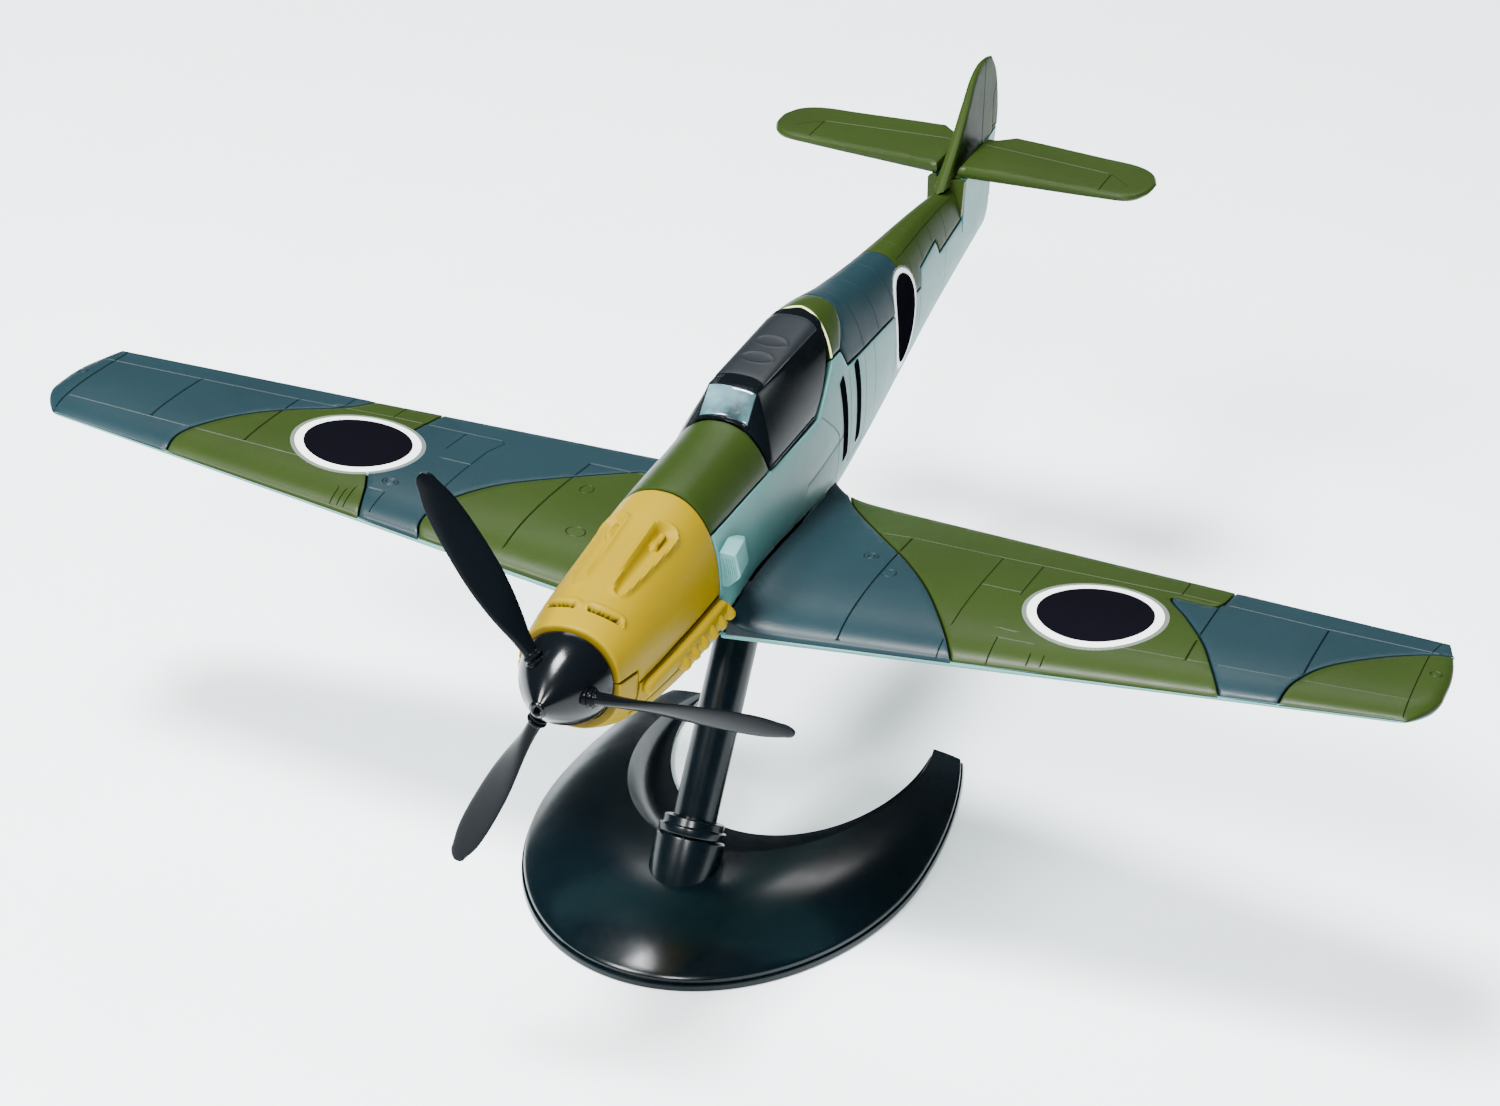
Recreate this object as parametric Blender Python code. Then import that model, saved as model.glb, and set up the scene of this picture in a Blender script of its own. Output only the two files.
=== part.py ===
"""A snap-together display model of a single-engined low-wing fighter, on a crescent stand.

Frame: metres, +Z up, +X to the model's port side, the nose towards -Y. The origin is on the table under the
middle of the model. Helper functions take millimetres in the aeroplane's own frame: y runs aft from the
spinner's tip and z is measured from the thrust line, so the table is at z = TABLE.
"""

import math

import bmesh
import bpy
from mathutils import Matrix, Vector

MM = 0.001
LENGTH = 228.0
TABLE = -80.0
GAP = 0.3
WALL = 1.5

# The fuselage: distance aft, top, bottom, half width, and the height of the widest point.
STATIONS = (
    (12.5, 9.0, -10.0, 9.2, -0.5),
    (20.0, 10.8, -13.5, 10.2, -1.4),
    (35.0, 13.2, -17.5, 10.9, -2.4),
    (51.0, 15.5, -19.0, 11.1, -3.0),
    (77.0, 16.7, -20.5, 11.2, -3.0),
    (96.0, 20.6, -20.3, 11.1, -2.5),
    (115.0, 22.4, -19.6, 10.4, -1.5),
    (135.0, 18.8, -17.3, 9.0, 0.0),
    (155.0, 16.6, -14.2, 7.3, 1.2),
    (180.0, 15.3, -10.3, 5.0, 2.5),
    (200.0, 13.5, -7.2, 3.6, 3.6),
    (222.0, 12.3, -3.6, 2.3, 4.2),
)
ROUNDNESS = 2.25
COWL_FRONT = 12.5
COWL_REAR = 51.0
DECK_REAR = 76.8
COLLAR_FRONT = 114.8
TAIL_END = 219.0
DECK_JOINT = 156.0
COLLAR_LEAN = 7.4
KEEL_ANGLE = 178.6
BELLY_EDGE = -14.4
SIDE_TOE = ((51.15, -14.0), (53.0, -14.0), (54.5, -13.9), (54.6, -12.2), (55.6, -10.6))
TAILPLANE_Z = 17.3
CHEEK_TOP = 15.8
SILL = 8.8
EXHAUST_TOP = -2.6
EXHAUST_LOW = -9.0
BAR_Z = -4.2
STUBS = 6
STUB_FIRST = 31.8
STUB_STEP = 3.75

# The wing: its lines at the root and the tip, seen from above.
ROOT_X = 10.5
TIP_X = 128.3
LEADING = (55.0, 63.2)
TRAILING = (109.8, 91.0)
WING_Z = -12.65
DIHEDRAL = 0.0725
ROOT_THICK = 7.75
TIP_THICK = 3.0
NOSE_C = 0.008
SPAR_Y = 75.0

# The propeller.
SPINNER_LENGTH = 12.0
SPINNER_RADIUS = 8.3
PROP_Y = 6.8
BLADE_ANGLES = (-34.4, 85.6, 205.6)
AXLE_RADIUS = 1.2
BUSH_BORE = 1.5

# The stand: the post leans aft, and its axis lies in the plane x = 0.
POST_FOOT = Vector((0.0, 65.0, -72.2))
POST_DIR = Vector((0.0, 0.5195, 0.8545)).normalized()
POST_RADIUS = 4.1
POST_LENGTH = 76.0
SPIGOT_RADIUS = 3.7
SPIGOT_LENGTH = 15.0
SOCKET_BORE = 4.0
SOCKET_RADIUS = 5.9
BOSS_RADIUS = 6.5
# The crescent's plan curves: middle, half width, front reach, rear reach, and the angle of the horns' ends.
BASE_OUTER = (92.5, 38.2, 53.0, 74.0, 124.0)
BASE_RIDGE = (117.0, 27.2, 45.5, 45.5, 113.0)
BASE_INNER = (130.0, 25.0, 37.5, 37.5, 95.0)
BASE_CROWN = 10.2
BASE_TIP = 1.9
BASE_RIM = 2.4
BOSS_TOP = 7.2
COLLAR_TOP = 10.7

YELLOW = (0.93, 0.55, 0.012)
GREEN = (0.078, 0.120, 0.031)
BLUE = (0.045, 0.090, 0.122)
PALE = (0.31, 0.55, 0.53)
BLACK = (0.012, 0.014, 0.018)
SMOKE = (0.02, 0.022, 0.024)
GREY = (0.09, 0.10, 0.105)


# ---------------------------------------------------------------- scene and materials


def clear_scene():
    for obj in list(bpy.data.objects):
        bpy.data.objects.remove(obj, do_unlink=True)


def plastic(name, colour, roughness):
    material = bpy.data.materials.new(name)
    material.use_nodes = True
    shader = material.node_tree.nodes["Principled BSDF"]
    shader.inputs["Base Color"].default_value = (*colour, 1.0)
    shader.inputs["Roughness"].default_value = roughness
    shader.inputs["Metallic"].default_value = 0.0
    return material


def at(x, y, z):
    """Millimetres in the aeroplane's frame, as metres in the part's frame."""
    return Vector((x * MM, (y - LENGTH / 2) * MM, (z - TABLE) * MM))


def finish_mesh(name, bm, colour, roughness=0.45, keep=True):
    bmesh.ops.recalc_face_normals(bm, faces=bm.faces)
    if bm.calc_volume(signed=True) < 0:
        bmesh.ops.reverse_faces(bm, faces=bm.faces)
    mesh = bpy.data.meshes.new(name)
    bm.to_mesh(mesh)
    bm.free()
    mesh.shade_smooth()
    mesh.set_sharp_from_angle(angle=math.radians(35))
    obj = bpy.data.objects.new(name, mesh)
    bpy.context.scene.collection.objects.link(obj)
    if keep:
        mesh.materials.append(plastic(name, colour, roughness))
    else:
        obj.hide_render = True
        obj.display_type = "WIRE"
    return obj


def boolean(obj, other, operation):
    modifier = obj.modifiers.new(other.name, "BOOLEAN")
    modifier.object = other
    modifier.operation = operation
    modifier.solver = "EXACT"
    other.hide_render = True
    other.display_type = "WIRE"


def set_origin(obj, point):
    """Moves an object's origin to a point without moving its shape."""
    obj.data.transform(Matrix.Translation(-point))
    obj.location = point


# ---------------------------------------------------------------- closed shapes


def closed_grid(name, outer, inner, colour, roughness=0.45, keep=True):
    """A solid between two grids of points of the same size: outer[i][j] and inner[i][j]."""
    bm = bmesh.new()
    rows, columns = len(outer), len(outer[0])
    top = [[bm.verts.new(p) for p in row] for row in outer]
    low = [[bm.verts.new(p) for p in row] for row in inner]
    for i in range(rows - 1):
        for j in range(columns - 1):
            bm.faces.new((top[i][j], top[i + 1][j], top[i + 1][j + 1], top[i][j + 1]))
            bm.faces.new((low[i][j], low[i][j + 1], low[i + 1][j + 1], low[i + 1][j]))
    rim = [(i, 0) for i in range(rows)]
    rim += [(rows - 1, j) for j in range(1, columns)]
    rim += [(i, columns - 1) for i in range(rows - 2, -1, -1)]
    rim += [(0, j) for j in range(columns - 2, 0, -1)]
    for (a, b), (c, d) in zip(rim, rim[1:] + rim[:1]):
        bm.faces.new((top[a][b], low[a][b], low[c][d], top[c][d]))
    return finish_mesh(name, bm, colour, roughness, keep)


def tube_of_rings(name, rings, colour, roughness=0.45, keep=True, loop=False):
    """A solid through closed rings of points; its ends are capped, or joined when loop is set."""
    bm = bmesh.new()
    loops = [[bm.verts.new(p) for p in ring] for ring in rings]
    count = len(loops[0])
    pairs = list(zip(loops, loops[1:] + loops[:1])) if loop else list(zip(loops, loops[1:]))
    for a, b in pairs:
        for i in range(count):
            j = (i + 1) % count
            bm.faces.new((a[i], a[j], b[j], b[i]))
    if not loop:
        bm.faces.new(loops[0])
        bm.faces.new(list(reversed(loops[-1])))
        flat = [f for f in bm.faces if len(f.verts) > 4]
        bmesh.ops.triangulate(bm, faces=flat)
    return finish_mesh(name, bm, colour, roughness, keep)


def side_axes(direction):
    d = direction.normalized()
    u = d.orthogonal().normalized()
    return u, d.cross(u)


def turned(name, start, direction, profile, colour, roughness=0.45, sides=32, keep=True):
    """A solid of revolution round a line; profile is a closed outline of (along, radius) points."""
    u, v = side_axes(direction)
    d = direction.normalized()
    rings = []
    for k in range(sides):
        turn = 2 * math.pi * k / sides
        out = u * math.cos(turn) + v * math.sin(turn)
        rings.append([at(*(start + d * s + out * r)) for s, r in profile])
    return tube_of_rings(name, rings, colour, roughness, keep, loop=True)


def rod(name, start, direction, length, radius, colour=BLACK, sides=24, keep=True):
    """A plain round bar, used for pins and as a cutter."""
    u, v = side_axes(direction)
    d = direction.normalized()
    rings = []
    for s in (0.0, length):
        ring = []
        for k in range(sides):
            turn = 2 * math.pi * k / sides
            out = u * math.cos(turn) + v * math.sin(turn)
            ring.append(at(*(start + d * s + out * radius)))
        rings.append(ring)
    return tube_of_rings(name, rings, colour, 0.4, keep)


def block(name, low, high, colour=GREY, keep=True):
    outer = [[at(x, y, high[2]) for y in (low[1], high[1])] for x in (low[0], high[0])]
    inner = [[at(x, y, low[2]) for y in (low[1], high[1])] for x in (low[0], high[0])]
    return closed_grid(name, outer, inner, colour, 0.5, keep)


# ---------------------------------------------------------------- plane curves


def spline(points, count):
    """Evenly counted points on a smooth curve through the given ones."""
    found = []
    spans = len(points) - 1
    for n in range(count + 1):
        u = n * spans / count
        i = min(int(u), spans - 1)
        t = u - i
        near = [points[max(0, min(spans, i + k))] for k in (-1, 0, 1, 2)]
        found.append(tuple(eased(t, *values) for values in zip(*near)))
    return found


def eased(t, a, b, c, d):
    """A smooth value between b and c, with a and d the ones before and after them."""
    square = 2 * a - 5 * b + 4 * c - d
    cube = 3 * b - a - 3 * c + d
    return 0.5 * (2 * b + (c - a) * t + square * t * t + cube * t**3)


def resample(points, count):
    """Points at even distances along a polyline, which keeps none of its corners but its ends."""
    lengths = [0.0]
    for a, b in zip(points, points[1:]):
        lengths.append(lengths[-1] + math.dist(a, b))
    found = []
    for n in range(count + 1):
        want = lengths[-1] * n / count
        i = max(k for k in range(len(points) - 1) if lengths[k] <= want + 1e-9)
        t = (want - lengths[i]) / max(1e-9, lengths[i + 1] - lengths[i])
        found.append(tuple(p + (q - p) * t for p, q in zip(points[i], points[i + 1])))
    return found


def shifted(points, by):
    """A plane polyline moved sideways by a distance, to the right of its direction when positive."""
    found = []
    for i, (x, y) in enumerate(points):
        ax, ay = points[max(0, i - 1)]
        bx, by_ = points[min(len(points) - 1, i + 1)]
        size = math.hypot(bx - ax, by_ - ay)
        found.append((x + (by_ - ay) / size * by, y - (bx - ax) / size * by))
    return found


def across(left, right, count):
    """Rows of points between two polylines of the same length."""
    rows = []
    for (ax, ay), (bx, by) in zip(left, right):
        rows.append([(ax + (bx - ax) * j / count, ay + (by - ay) * j / count) for j in range(count + 1)])
    return rows


# ---------------------------------------------------------------- fuselage surface


def station(y):
    """Top, bottom, half width and widest height at a distance aft, eased between the stations."""
    i = max(k for k in range(len(STATIONS) - 1) if STATIONS[k][0] <= y or k == 0)
    a, b = STATIONS[i], STATIONS[i + 1]
    before, after = STATIONS[max(0, i - 1)], STATIONS[min(len(STATIONS) - 1, i + 2)]
    span = b[0] - a[0]
    t = (y - a[0]) / span
    values = []
    for k in range(1, 5):
        left = (b[k] - before[k]) / (b[0] - before[0]) * span
        right = (after[k] - a[k]) / (after[0] - a[0]) * span
        h00, h10 = 2 * t**3 - 3 * t * t + 1, t**3 - 2 * t * t + t
        h01, h11 = 3 * t * t - 2 * t**3, t**3 - t * t
        values.append(h00 * a[k] + h10 * left + h01 * b[k] + h11 * right)
    return values


def half_width(y, z, depth=0.0):
    top, bottom, wide, middle = station(y)
    half = (top - middle if z > middle else middle - bottom) - depth
    ratio = min(1.0, abs(z - middle) / half)
    return (wide - depth) * (1 - ratio**ROUNDNESS) ** (1 / ROUNDNESS)


def body_point(y, degrees, depth=0.0):
    """A point on the fuselage: 0 degrees is the top, 90 the port side and 180 the bottom."""
    top, bottom, wide, middle = station(y)
    a = math.radians(degrees)
    s, c = math.sin(a), math.cos(a)
    half = (top - middle if c > 0 else middle - bottom) - depth
    x = math.copysign(abs(s) ** (2 / ROUNDNESS), s) * (wide - depth)
    z = middle + math.copysign(abs(c) ** (2 / ROUNDNESS), c) * half
    return x, y, z


def angle_at(y, z):
    """The angle from the top, in degrees, at which the fuselage's skin is at this height."""
    top, bottom, _, middle = station(y)
    half = top - middle if z > middle else middle - bottom
    ratio = min(1.0, abs(z - middle) / half) ** (ROUNDNESS / 2)
    turn = math.degrees(math.acos(ratio))
    return turn if z > middle else 180 - turn


def skin(name, left, right, colour, roughness=0.45, columns=8, wall=WALL, proud=0.0):
    """A moulded skin between two lines on the fuselage, each given as (distance aft, degrees) points."""
    rows = across(left, right, columns)
    outer = [[at(*body_point(y, a, -proud)) for y, a in row] for row in rows]
    inner = [[at(*body_point(y, a, wall)) for y, a in row] for row in rows]
    return closed_grid(name, outer, inner, colour, roughness)


def mirrored(line):
    return [(y, -a) for y, a in line]


def level(y0, y1, z0, z1, count):
    """A line on the fuselage's port side, from one distance and height to another."""
    found = []
    for n in range(count + 1):
        y = y0 + (y1 - y0) * n / count
        found.append((y, angle_at(y, z0 + (z1 - z0) * n / count)))
    return found


def camo_side(points):
    return [(y, angle_at(y, z)) for y, z in points]


# ---------------------------------------------------------------- wing surface


def leading(x):
    return LEADING[0] + (LEADING[1] - LEADING[0]) * (abs(x) - ROOT_X) / (TIP_X - ROOT_X)


def trailing(x):
    return TRAILING[0] + (TRAILING[1] - TRAILING[0]) * (abs(x) - ROOT_X) / (TIP_X - ROOT_X)


def chord_point(x, c):
    return x, leading(x) + c * (trailing(x) - leading(x))


def tip_edge(c):
    """How far out the rounded tip reaches at a fraction of the chord."""
    front = max(0.0, 1 - c / 0.3) ** 2
    rear = max(0.0, (c - 0.45) / 0.55) ** 2
    return 132.4 - 4.3 * front - 3.0 * rear


def wing_height(x, y, side):
    """The height of the wing's upper (side 1) or lower (side -1) surface over a point in plan."""
    c = min(1.0, max(0.0, (y - leading(x)) / (trailing(x) - leading(x))))
    out = (abs(x) - ROOT_X) / (TIP_X - ROOT_X)
    thick = ROOT_THICK + (TIP_THICK - ROOT_THICK) * out
    form = 2.969 * math.sqrt(c) - 1.26 * c - 3.516 * c * c + 2.843 * c**3 - 0.9 * c**4
    edge = min(1.0, max(0.0, (tip_edge(c) - abs(x)) / 3.0))
    rounding = math.sqrt(1 - (1 - edge) ** 2 * 0.75)
    middle = WING_Z + (abs(x) - ROOT_X) * DIHEDRAL
    if side > 0:
        fillet = 4.4 * math.exp(-(abs(x) - 9.5) / 2.3)
        return middle + (0.58 * thick * form * rounding) + fillet
    return middle - 0.42 * thick * form * rounding


def wing_middle(x):
    return WING_Z + (abs(x) - ROOT_X) * DIHEDRAL


def upper_panel(name, left, right, colour, columns):
    rows = across(left, right, columns)
    outer = []
    inner = []
    for row in rows:
        outer.append([])
        inner.append([])
        for x, y in row:
            high = max(wing_height(x, y, 1), wing_middle(x) + 0.42)
            outer[-1].append(at(x, y, high))
            inner[-1].append(at(x, y, max(high - WALL, wing_middle(x) + GAP / 2)))
    return closed_grid(name, outer, inner, colour, 0.42)


def lower_skin(name, sign):
    fractions = [NOSE_C, 0.04, 0.12, 0.25, 0.4, 0.55, 0.7, 0.85, 1.0]
    rows = []
    for c in fractions:
        x0 = root_x(c, -1)
        x1 = tip_edge(c) - 0.4
        rows.append([])
        for j in range(11):
            px, py = chord_point(x0 + (x1 - x0) * j / 10, c)
            rows[-1].append((sign * px, py))
    inner = []
    outer = []
    for row in rows:
        outer.append([])
        inner.append([])
        for x, y in row:
            low = min(wing_height(x, y, -1), wing_middle(x) - 0.55)
            outer[-1].append(at(x, y, low))
            inner[-1].append(at(x, y, min(low + WALL, wing_middle(x) - GAP / 2)))
    return closed_grid(name, outer, inner, PALE, 0.42)


def root_x(c, side):
    """Where the wing meets the fuselage's side, with the moulding gap."""
    y = LEADING[0] + c * (TRAILING[0] - LEADING[0])
    z = WING_Z if side < 0 else wing_height(ROOT_X + 0.4, y, 1)
    return half_width(y, z) + GAP + 0.1


# ---------------------------------------------------------------- the stand


def ellipse_point(ellipse, f):
    """A point on one of the crescent's plan curves; f runs from -1 to 1, from horn tip to horn tip."""
    middle, wide, front, rear, end = ellipse
    turn = math.radians(end * f)
    reach = front if math.cos(turn) > 0 else rear
    return Vector((wide * math.sin(turn), middle - reach * math.cos(turn)))


def dome_rise(s):
    """How much of the dome's height is reached at a fraction of the way from the rim to the ridge."""
    return 1 - (1 - s) ** 2.8


def base_section(f):
    """One cross-section of the hollow crescent base, as a closed outline."""
    outer = ellipse_point(BASE_OUTER, f)
    ridge = ellipse_point(BASE_RIDGE, f)
    inner = ellipse_point(BASE_INNER, f)
    crown = BASE_CROWN - (BASE_CROWN - BASE_TIP) * f * f
    rim = min(BASE_RIM, 0.8 * crown)
    lip = 0.55 * rim
    foot = min(1.0, 0.5 * crown)
    step = outer + (ridge - outer).normalized() * 0.6
    points = [(outer, 0.0), (outer, lip), (step, lip), (step, rim)]
    for s in (0.1, 0.25, 0.45, 0.7, 1.0):
        points.append((step.lerp(ridge, s), rim + (crown - rim) * dome_rise(s)))
    for t in (0.78, 0.5):
        points.append((inner.lerp(ridge, t), foot + t**3 * (crown - foot)))
    points += [(inner, foot), (inner, 0.0)]
    slope = (ridge - inner).length
    dome = (ridge - outer).length
    wall = min(1.8, 0.3 * (slope + dome))

    def under(u, height):
        along = wall + u * (slope + dome - 2 * wall)
        if along < slope:
            t = along / slope
            return inner.lerp(ridge, t), min(height, max(0.4, foot + t**3 * (crown - foot) - 1.4))
        s = 1 - (along - slope) / dome
        return outer.lerp(ridge, s), min(height, max(0.4, rim + (crown - rim) * dome_rise(0.8 * s) - 1.6))

    points += [under(0.0, 0.0), under(0.25, crown), under(0.5, crown)]
    points += [under(0.8, crown), under(1.0, 0.4), under(1.0, 0.0)]
    return [at(p.x, p.y, TABLE + z) for p, z in points]


def make_stand():
    sections = 34
    rings = [base_section(-1 + 2 * k / sections) for k in range(sections + 1)]
    base = tube_of_rings("stand_base", rings, BLACK, 0.25)
    foot = POST_FOOT - POST_DIR * 4.0
    boss = rod("boss", foot, POST_DIR, BOSS_TOP + 4.0, BOSS_RADIUS, sides=28, keep=False)
    up = Vector((0, 0, 1))
    under = rod("boss_foot", Vector((0.0, 62.5, TABLE)), up, 6.0, 6.2, sides=28, keep=False)
    boolean(base, boss, "UNION")
    boolean(base, under, "UNION")
    hole = rod("post_hole", POST_FOOT, POST_DIR, 30.0, POST_RADIUS + 0.3, sides=24, keep=False)
    boolean(base, hole, "DIFFERENCE")
    ring = [(BOSS_TOP + GAP, POST_RADIUS + 0.3), (COLLAR_TOP, POST_RADIUS + 0.3), (COLLAR_TOP, 5.7)]
    ring += [(COLLAR_TOP - 1.6, 5.75), (COLLAR_TOP - 1.6, 6.3), (BOSS_TOP + GAP, 6.3)]
    turned("stand_collar", POST_FOOT, POST_DIR, ring, BLACK, 0.25, 28)
    shoulder = POST_LENGTH - SPIGOT_LENGTH
    mid = [(0.3, 0.0), (0.3, POST_RADIUS), (shoulder, POST_RADIUS), (shoulder + 0.4, SPIGOT_RADIUS)]
    mid += [(POST_LENGTH - 0.8, SPIGOT_RADIUS), (POST_LENGTH, SPIGOT_RADIUS - 0.8), (POST_LENGTH, 0.0)]
    post_rings = []
    u, v = side_axes(POST_DIR)
    for s, r in mid[1:-1]:
        ring = []
        for k in range(24):
            turn = 2 * math.pi * k / 24
            out = u * math.cos(turn) + v * math.sin(turn)
            ring.append(at(*(POST_FOOT + POST_DIR * s + out * r)))
        post_rings.append(ring)
    tube_of_rings("stand_post", post_rings, BLACK, 0.2)


# ---------------------------------------------------------------- the core and the propeller


def make_core():
    aft = Vector((0, 1, 0))
    nose = [(0.0, BUSH_BORE + 1.3), (16.0, BUSH_BORE + 1.3), (16.0, 6.4), (0.0, 6.4)]
    turned("core_nose_block", Vector((0, 14.5, 0)), aft, nose, GREY, 0.5, 20)
    bush = [(0.0, BUSH_BORE), (16.4, BUSH_BORE), (16.4, BUSH_BORE + 1.0), (0.0, BUSH_BORE + 1.0)]
    turned("axle_bush", Vector((0, 14.3, 0)), aft, bush, GREY, 0.4, 20)
    outline = [(33.5, -9.0), (33.5, 6.5), (74.0, 6.5), (77.5, -1.2), (110.5, -1.2), (114.0, 9.0)]
    outline += [(150.0, 8.5), (196.0, 7.0), (196.0, 1.5), (150.0, -6.0), (113.0, -9.5), (111.0, -3.0)]
    outline += [(87.0, -3.0), (80.5, -8.0)]
    rings = [[at(x, y, z) for y, z in outline] for x in (-1.3, 1.3)]
    tube_of_rings("core_keel", rings, GREY, 0.5)
    depth = POST_LENGTH - SPIGOT_LENGTH + 1.6
    socket = [(0.0, SOCKET_BORE), (14.8, SOCKET_BORE), (14.8, SOCKET_RADIUS), (0.0, SOCKET_RADIUS)]
    turned("belly_socket", POST_FOOT + POST_DIR * depth, POST_DIR, socket, GREY, 0.5, 24)
    rings = []
    for x in (-52, -28, 0, 28, 52):
        z = wing_middle(max(abs(x), ROOT_X)) + 0.5
        tall = 1.5 - 0.8 * abs(x) / 52
        wide = 4.5 - 1.5 * abs(x) / 52
        low = [at(x, SPAR_Y + side * wide, z - tall) for side in (-1, 1)]
        high = [at(x, SPAR_Y + side * wide, z + tall) for side in (1, -1)]
        rings.append(low + high)
    tube_of_rings("wing_spar", rings, GREY, 0.5)


def spinner_radius(y):
    return SPINNER_RADIUS * (1 - (1 - min(1.0, y / SPINNER_LENGTH)) ** 1.62) ** 0.9


def blade_frame(degrees):
    a = math.radians(degrees)
    out = Vector((math.sin(a), 0, math.cos(a)))
    return out, Vector((0, 1, 0)).cross(out)


def make_propeller():
    steps = 9
    outer = [(0.0, 0.9), (0.0, 1.7)]
    for k in range(2, steps + 1):
        y = SPINNER_LENGTH * (k / steps) ** 1.4
        outer.append((y, spinner_radius(y)))
    inner = [(SPINNER_LENGTH, SPINNER_RADIUS - 1.0), (8.0, spinner_radius(8.0) - 1.1)]
    inner += [(3.4, spinner_radius(3.4) - 1.2), (2.2, 0.9)]
    spinner = turned("spinner", Vector((0, 0, 0)), Vector((0, 1, 0)), outer + inner, BLACK, 0.15, 32)
    hub = [(0.0, AXLE_RADIUS + 0.15), (4.9, AXLE_RADIUS + 0.15), (4.9, 3.6), (0.0, 3.6)]
    turned("prop_hub", Vector((0, 5.0, 0)), Vector((0, 1, 0)), hub, BLACK, 0.3, 24)
    plate = [(0.0, BUSH_BORE), (1.3, BUSH_BORE), (1.3, 6.4), (0.0, 6.4)]
    turned("spinner_backplate", Vector((0, 10.4, 0)), Vector((0, 1, 0)), plate, BLACK, 0.3, 28)
    for number, degrees in enumerate(BLADE_ANGLES, 1):
        out, _ = blade_frame(degrees)
        start = Vector((0, PROP_Y, 0)) + out * 3.8
        hole = rod(f"root_hole_{number}", start, out, 8.0, 2.05, sides=16, keep=False)
        boolean(spinner, hole, "DIFFERENCE")
        make_blade(f"blade_{number}", degrees)
    rings = []
    for y in (PROP_Y - 2.2, 32.8):
        ring = []
        for k in range(16):
            turn = 2 * math.pi * k / 16
            ring.append(at(AXLE_RADIUS * math.cos(turn), y, AXLE_RADIUS * math.sin(turn)))
        rings.append(ring)
    tube_of_rings("prop_axle", rings, GREY, 0.3)
    clip = [(0.0, AXLE_RADIUS + 0.15), (1.2, AXLE_RADIUS + 0.15), (1.2, 3.0), (0.0, 3.0)]
    turned("axle_clip", Vector((0, 31.2, 0)), Vector((0, 1, 0)), clip, GREY, 0.3, 20)
    moving = ["spinner", "prop_hub", "spinner_backplate", "prop_axle", "axle_clip"]
    for name in moving + ["blade_1", "blade_2", "blade_3"]:
        set_origin(bpy.data.objects[name], at(0, PROP_Y, 0))


def make_blade(name, degrees):
    """A twisted blade: a round ribbed root, then a lens-shaped section that rounds at the tip."""
    out, side = blade_frame(degrees)
    aft = Vector((0, 1, 0))
    stations = [(3.9, 1.3, 1.3, 60), (4.6, 1.3, 1.3, 60)]
    for k in range(3):
        start = 4.7 + 1.05 * k
        stations += [(start, 1.75, 1.75, 60), (start + 0.65, 1.75, 1.75, 60)]
        stations += [(start + 0.75, 1.4, 1.4, 60), (start + 0.95, 1.4, 1.4, 60)]
    stations += [(8.0, 1.15, 1.05, 60), (12.0, 1.45, 0.95, 55), (16.0, 2.3, 0.8, 46), (23.0, 3.2, 0.6, 36)]
    stations += [(30.0, 3.2, 0.5, 29), (36.0, 2.7, 0.42, 24), (40.0, 1.8, 0.35, 21), (42.0, 0.7, 0.25, 20)]
    rings = []
    for r, wide, thick, pitch in stations:
        a = math.radians(pitch)
        along = side * math.cos(a) + aft * math.sin(a)
        normal = aft * math.cos(a) - side * math.sin(a)
        ring = []
        for k in range(12):
            turn = 2 * math.pi * k / 12
            offset = along * (wide * math.cos(turn)) + normal * (thick * math.sin(turn))
            ring.append(at(*(Vector((0, PROP_Y, 0)) + out * r + offset)))
        rings.append(ring)
    tube_of_rings(name, rings, BLACK, 0.2)


# ---------------------------------------------------------------- the nose


def make_cowl():
    gap = GAP / 2
    step = 6
    top = level(COWL_FRONT, 18.4, 0.5 + gap, gap, 2)
    top += level(18.6, COWL_REAR - gap, EXHAUST_TOP + gap, EXHAUST_TOP + gap, 5)
    skin("cowl_upper", mirrored(top), top, YELLOW, 0.4, 14)
    low = level(COWL_FRONT, 18.2, 0.5 - gap, -gap, 2)
    low += level(18.7, COWL_REAR - gap, EXHAUST_LOW - gap, EXHAUST_LOW - gap, 5)
    right = [(y, 360 - a) for y, a in low]
    skin("cowl_lower", low, right, YELLOW, 0.4, 14)
    for sign, name in ((1, "exhaust_left"), (-1, "exhaust_right")):
        upper = level(19.2, COWL_REAR - gap, EXHAUST_TOP - gap, EXHAUST_TOP - gap, step)
        lower = level(19.2, COWL_REAR - gap, EXHAUST_LOW + gap, EXHAUST_LOW + gap, step)
        if sign < 0:
            upper, lower = mirrored(upper), mirrored(lower)
        strip = skin(name, upper, lower, YELLOW, 0.4, 3)
        make_exhaust_stubs(name, strip, sign)


def make_exhaust_stubs(name, strip, sign):
    """A rounded bar on the strip with six short stub pipes below it."""
    rings = []
    lengthwise = ((20.0, 0.5), (21.4, 0.95), (30.0, 1.0), (40.0, 1.0), (49.8, 1.0), (COWL_REAR - 0.1, 0.5))
    for y, swell in lengthwise:
        x = half_width(y, BAR_Z) + 0.75
        ring = []
        for k in range(12):
            turn = 2 * math.pi * k / 12
            ring.append(at(sign * (x + swell * math.cos(turn)), y, BAR_Z + 1.35 * swell * math.sin(turn)))
        rings.append(ring)
    bar = tube_of_rings(name + "_bar", rings, YELLOW, 0.4, keep=False)
    boolean(strip, bar, "UNION")
    for n in range(STUBS):
        y = STUB_FIRST + STUB_STEP * n
        start = Vector((sign * (half_width(y, BAR_Z) + (0.6 if n < STUBS - 1 else 1.3)), y, BAR_Z))
        way = Vector((0.42 * sign, 0.20, -0.80))
        stub = rod(f"{name}_stub_{n}", start, way, 2.3, 0.95, sides=10, keep=False)
        boolean(strip, stub, "UNION")


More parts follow.
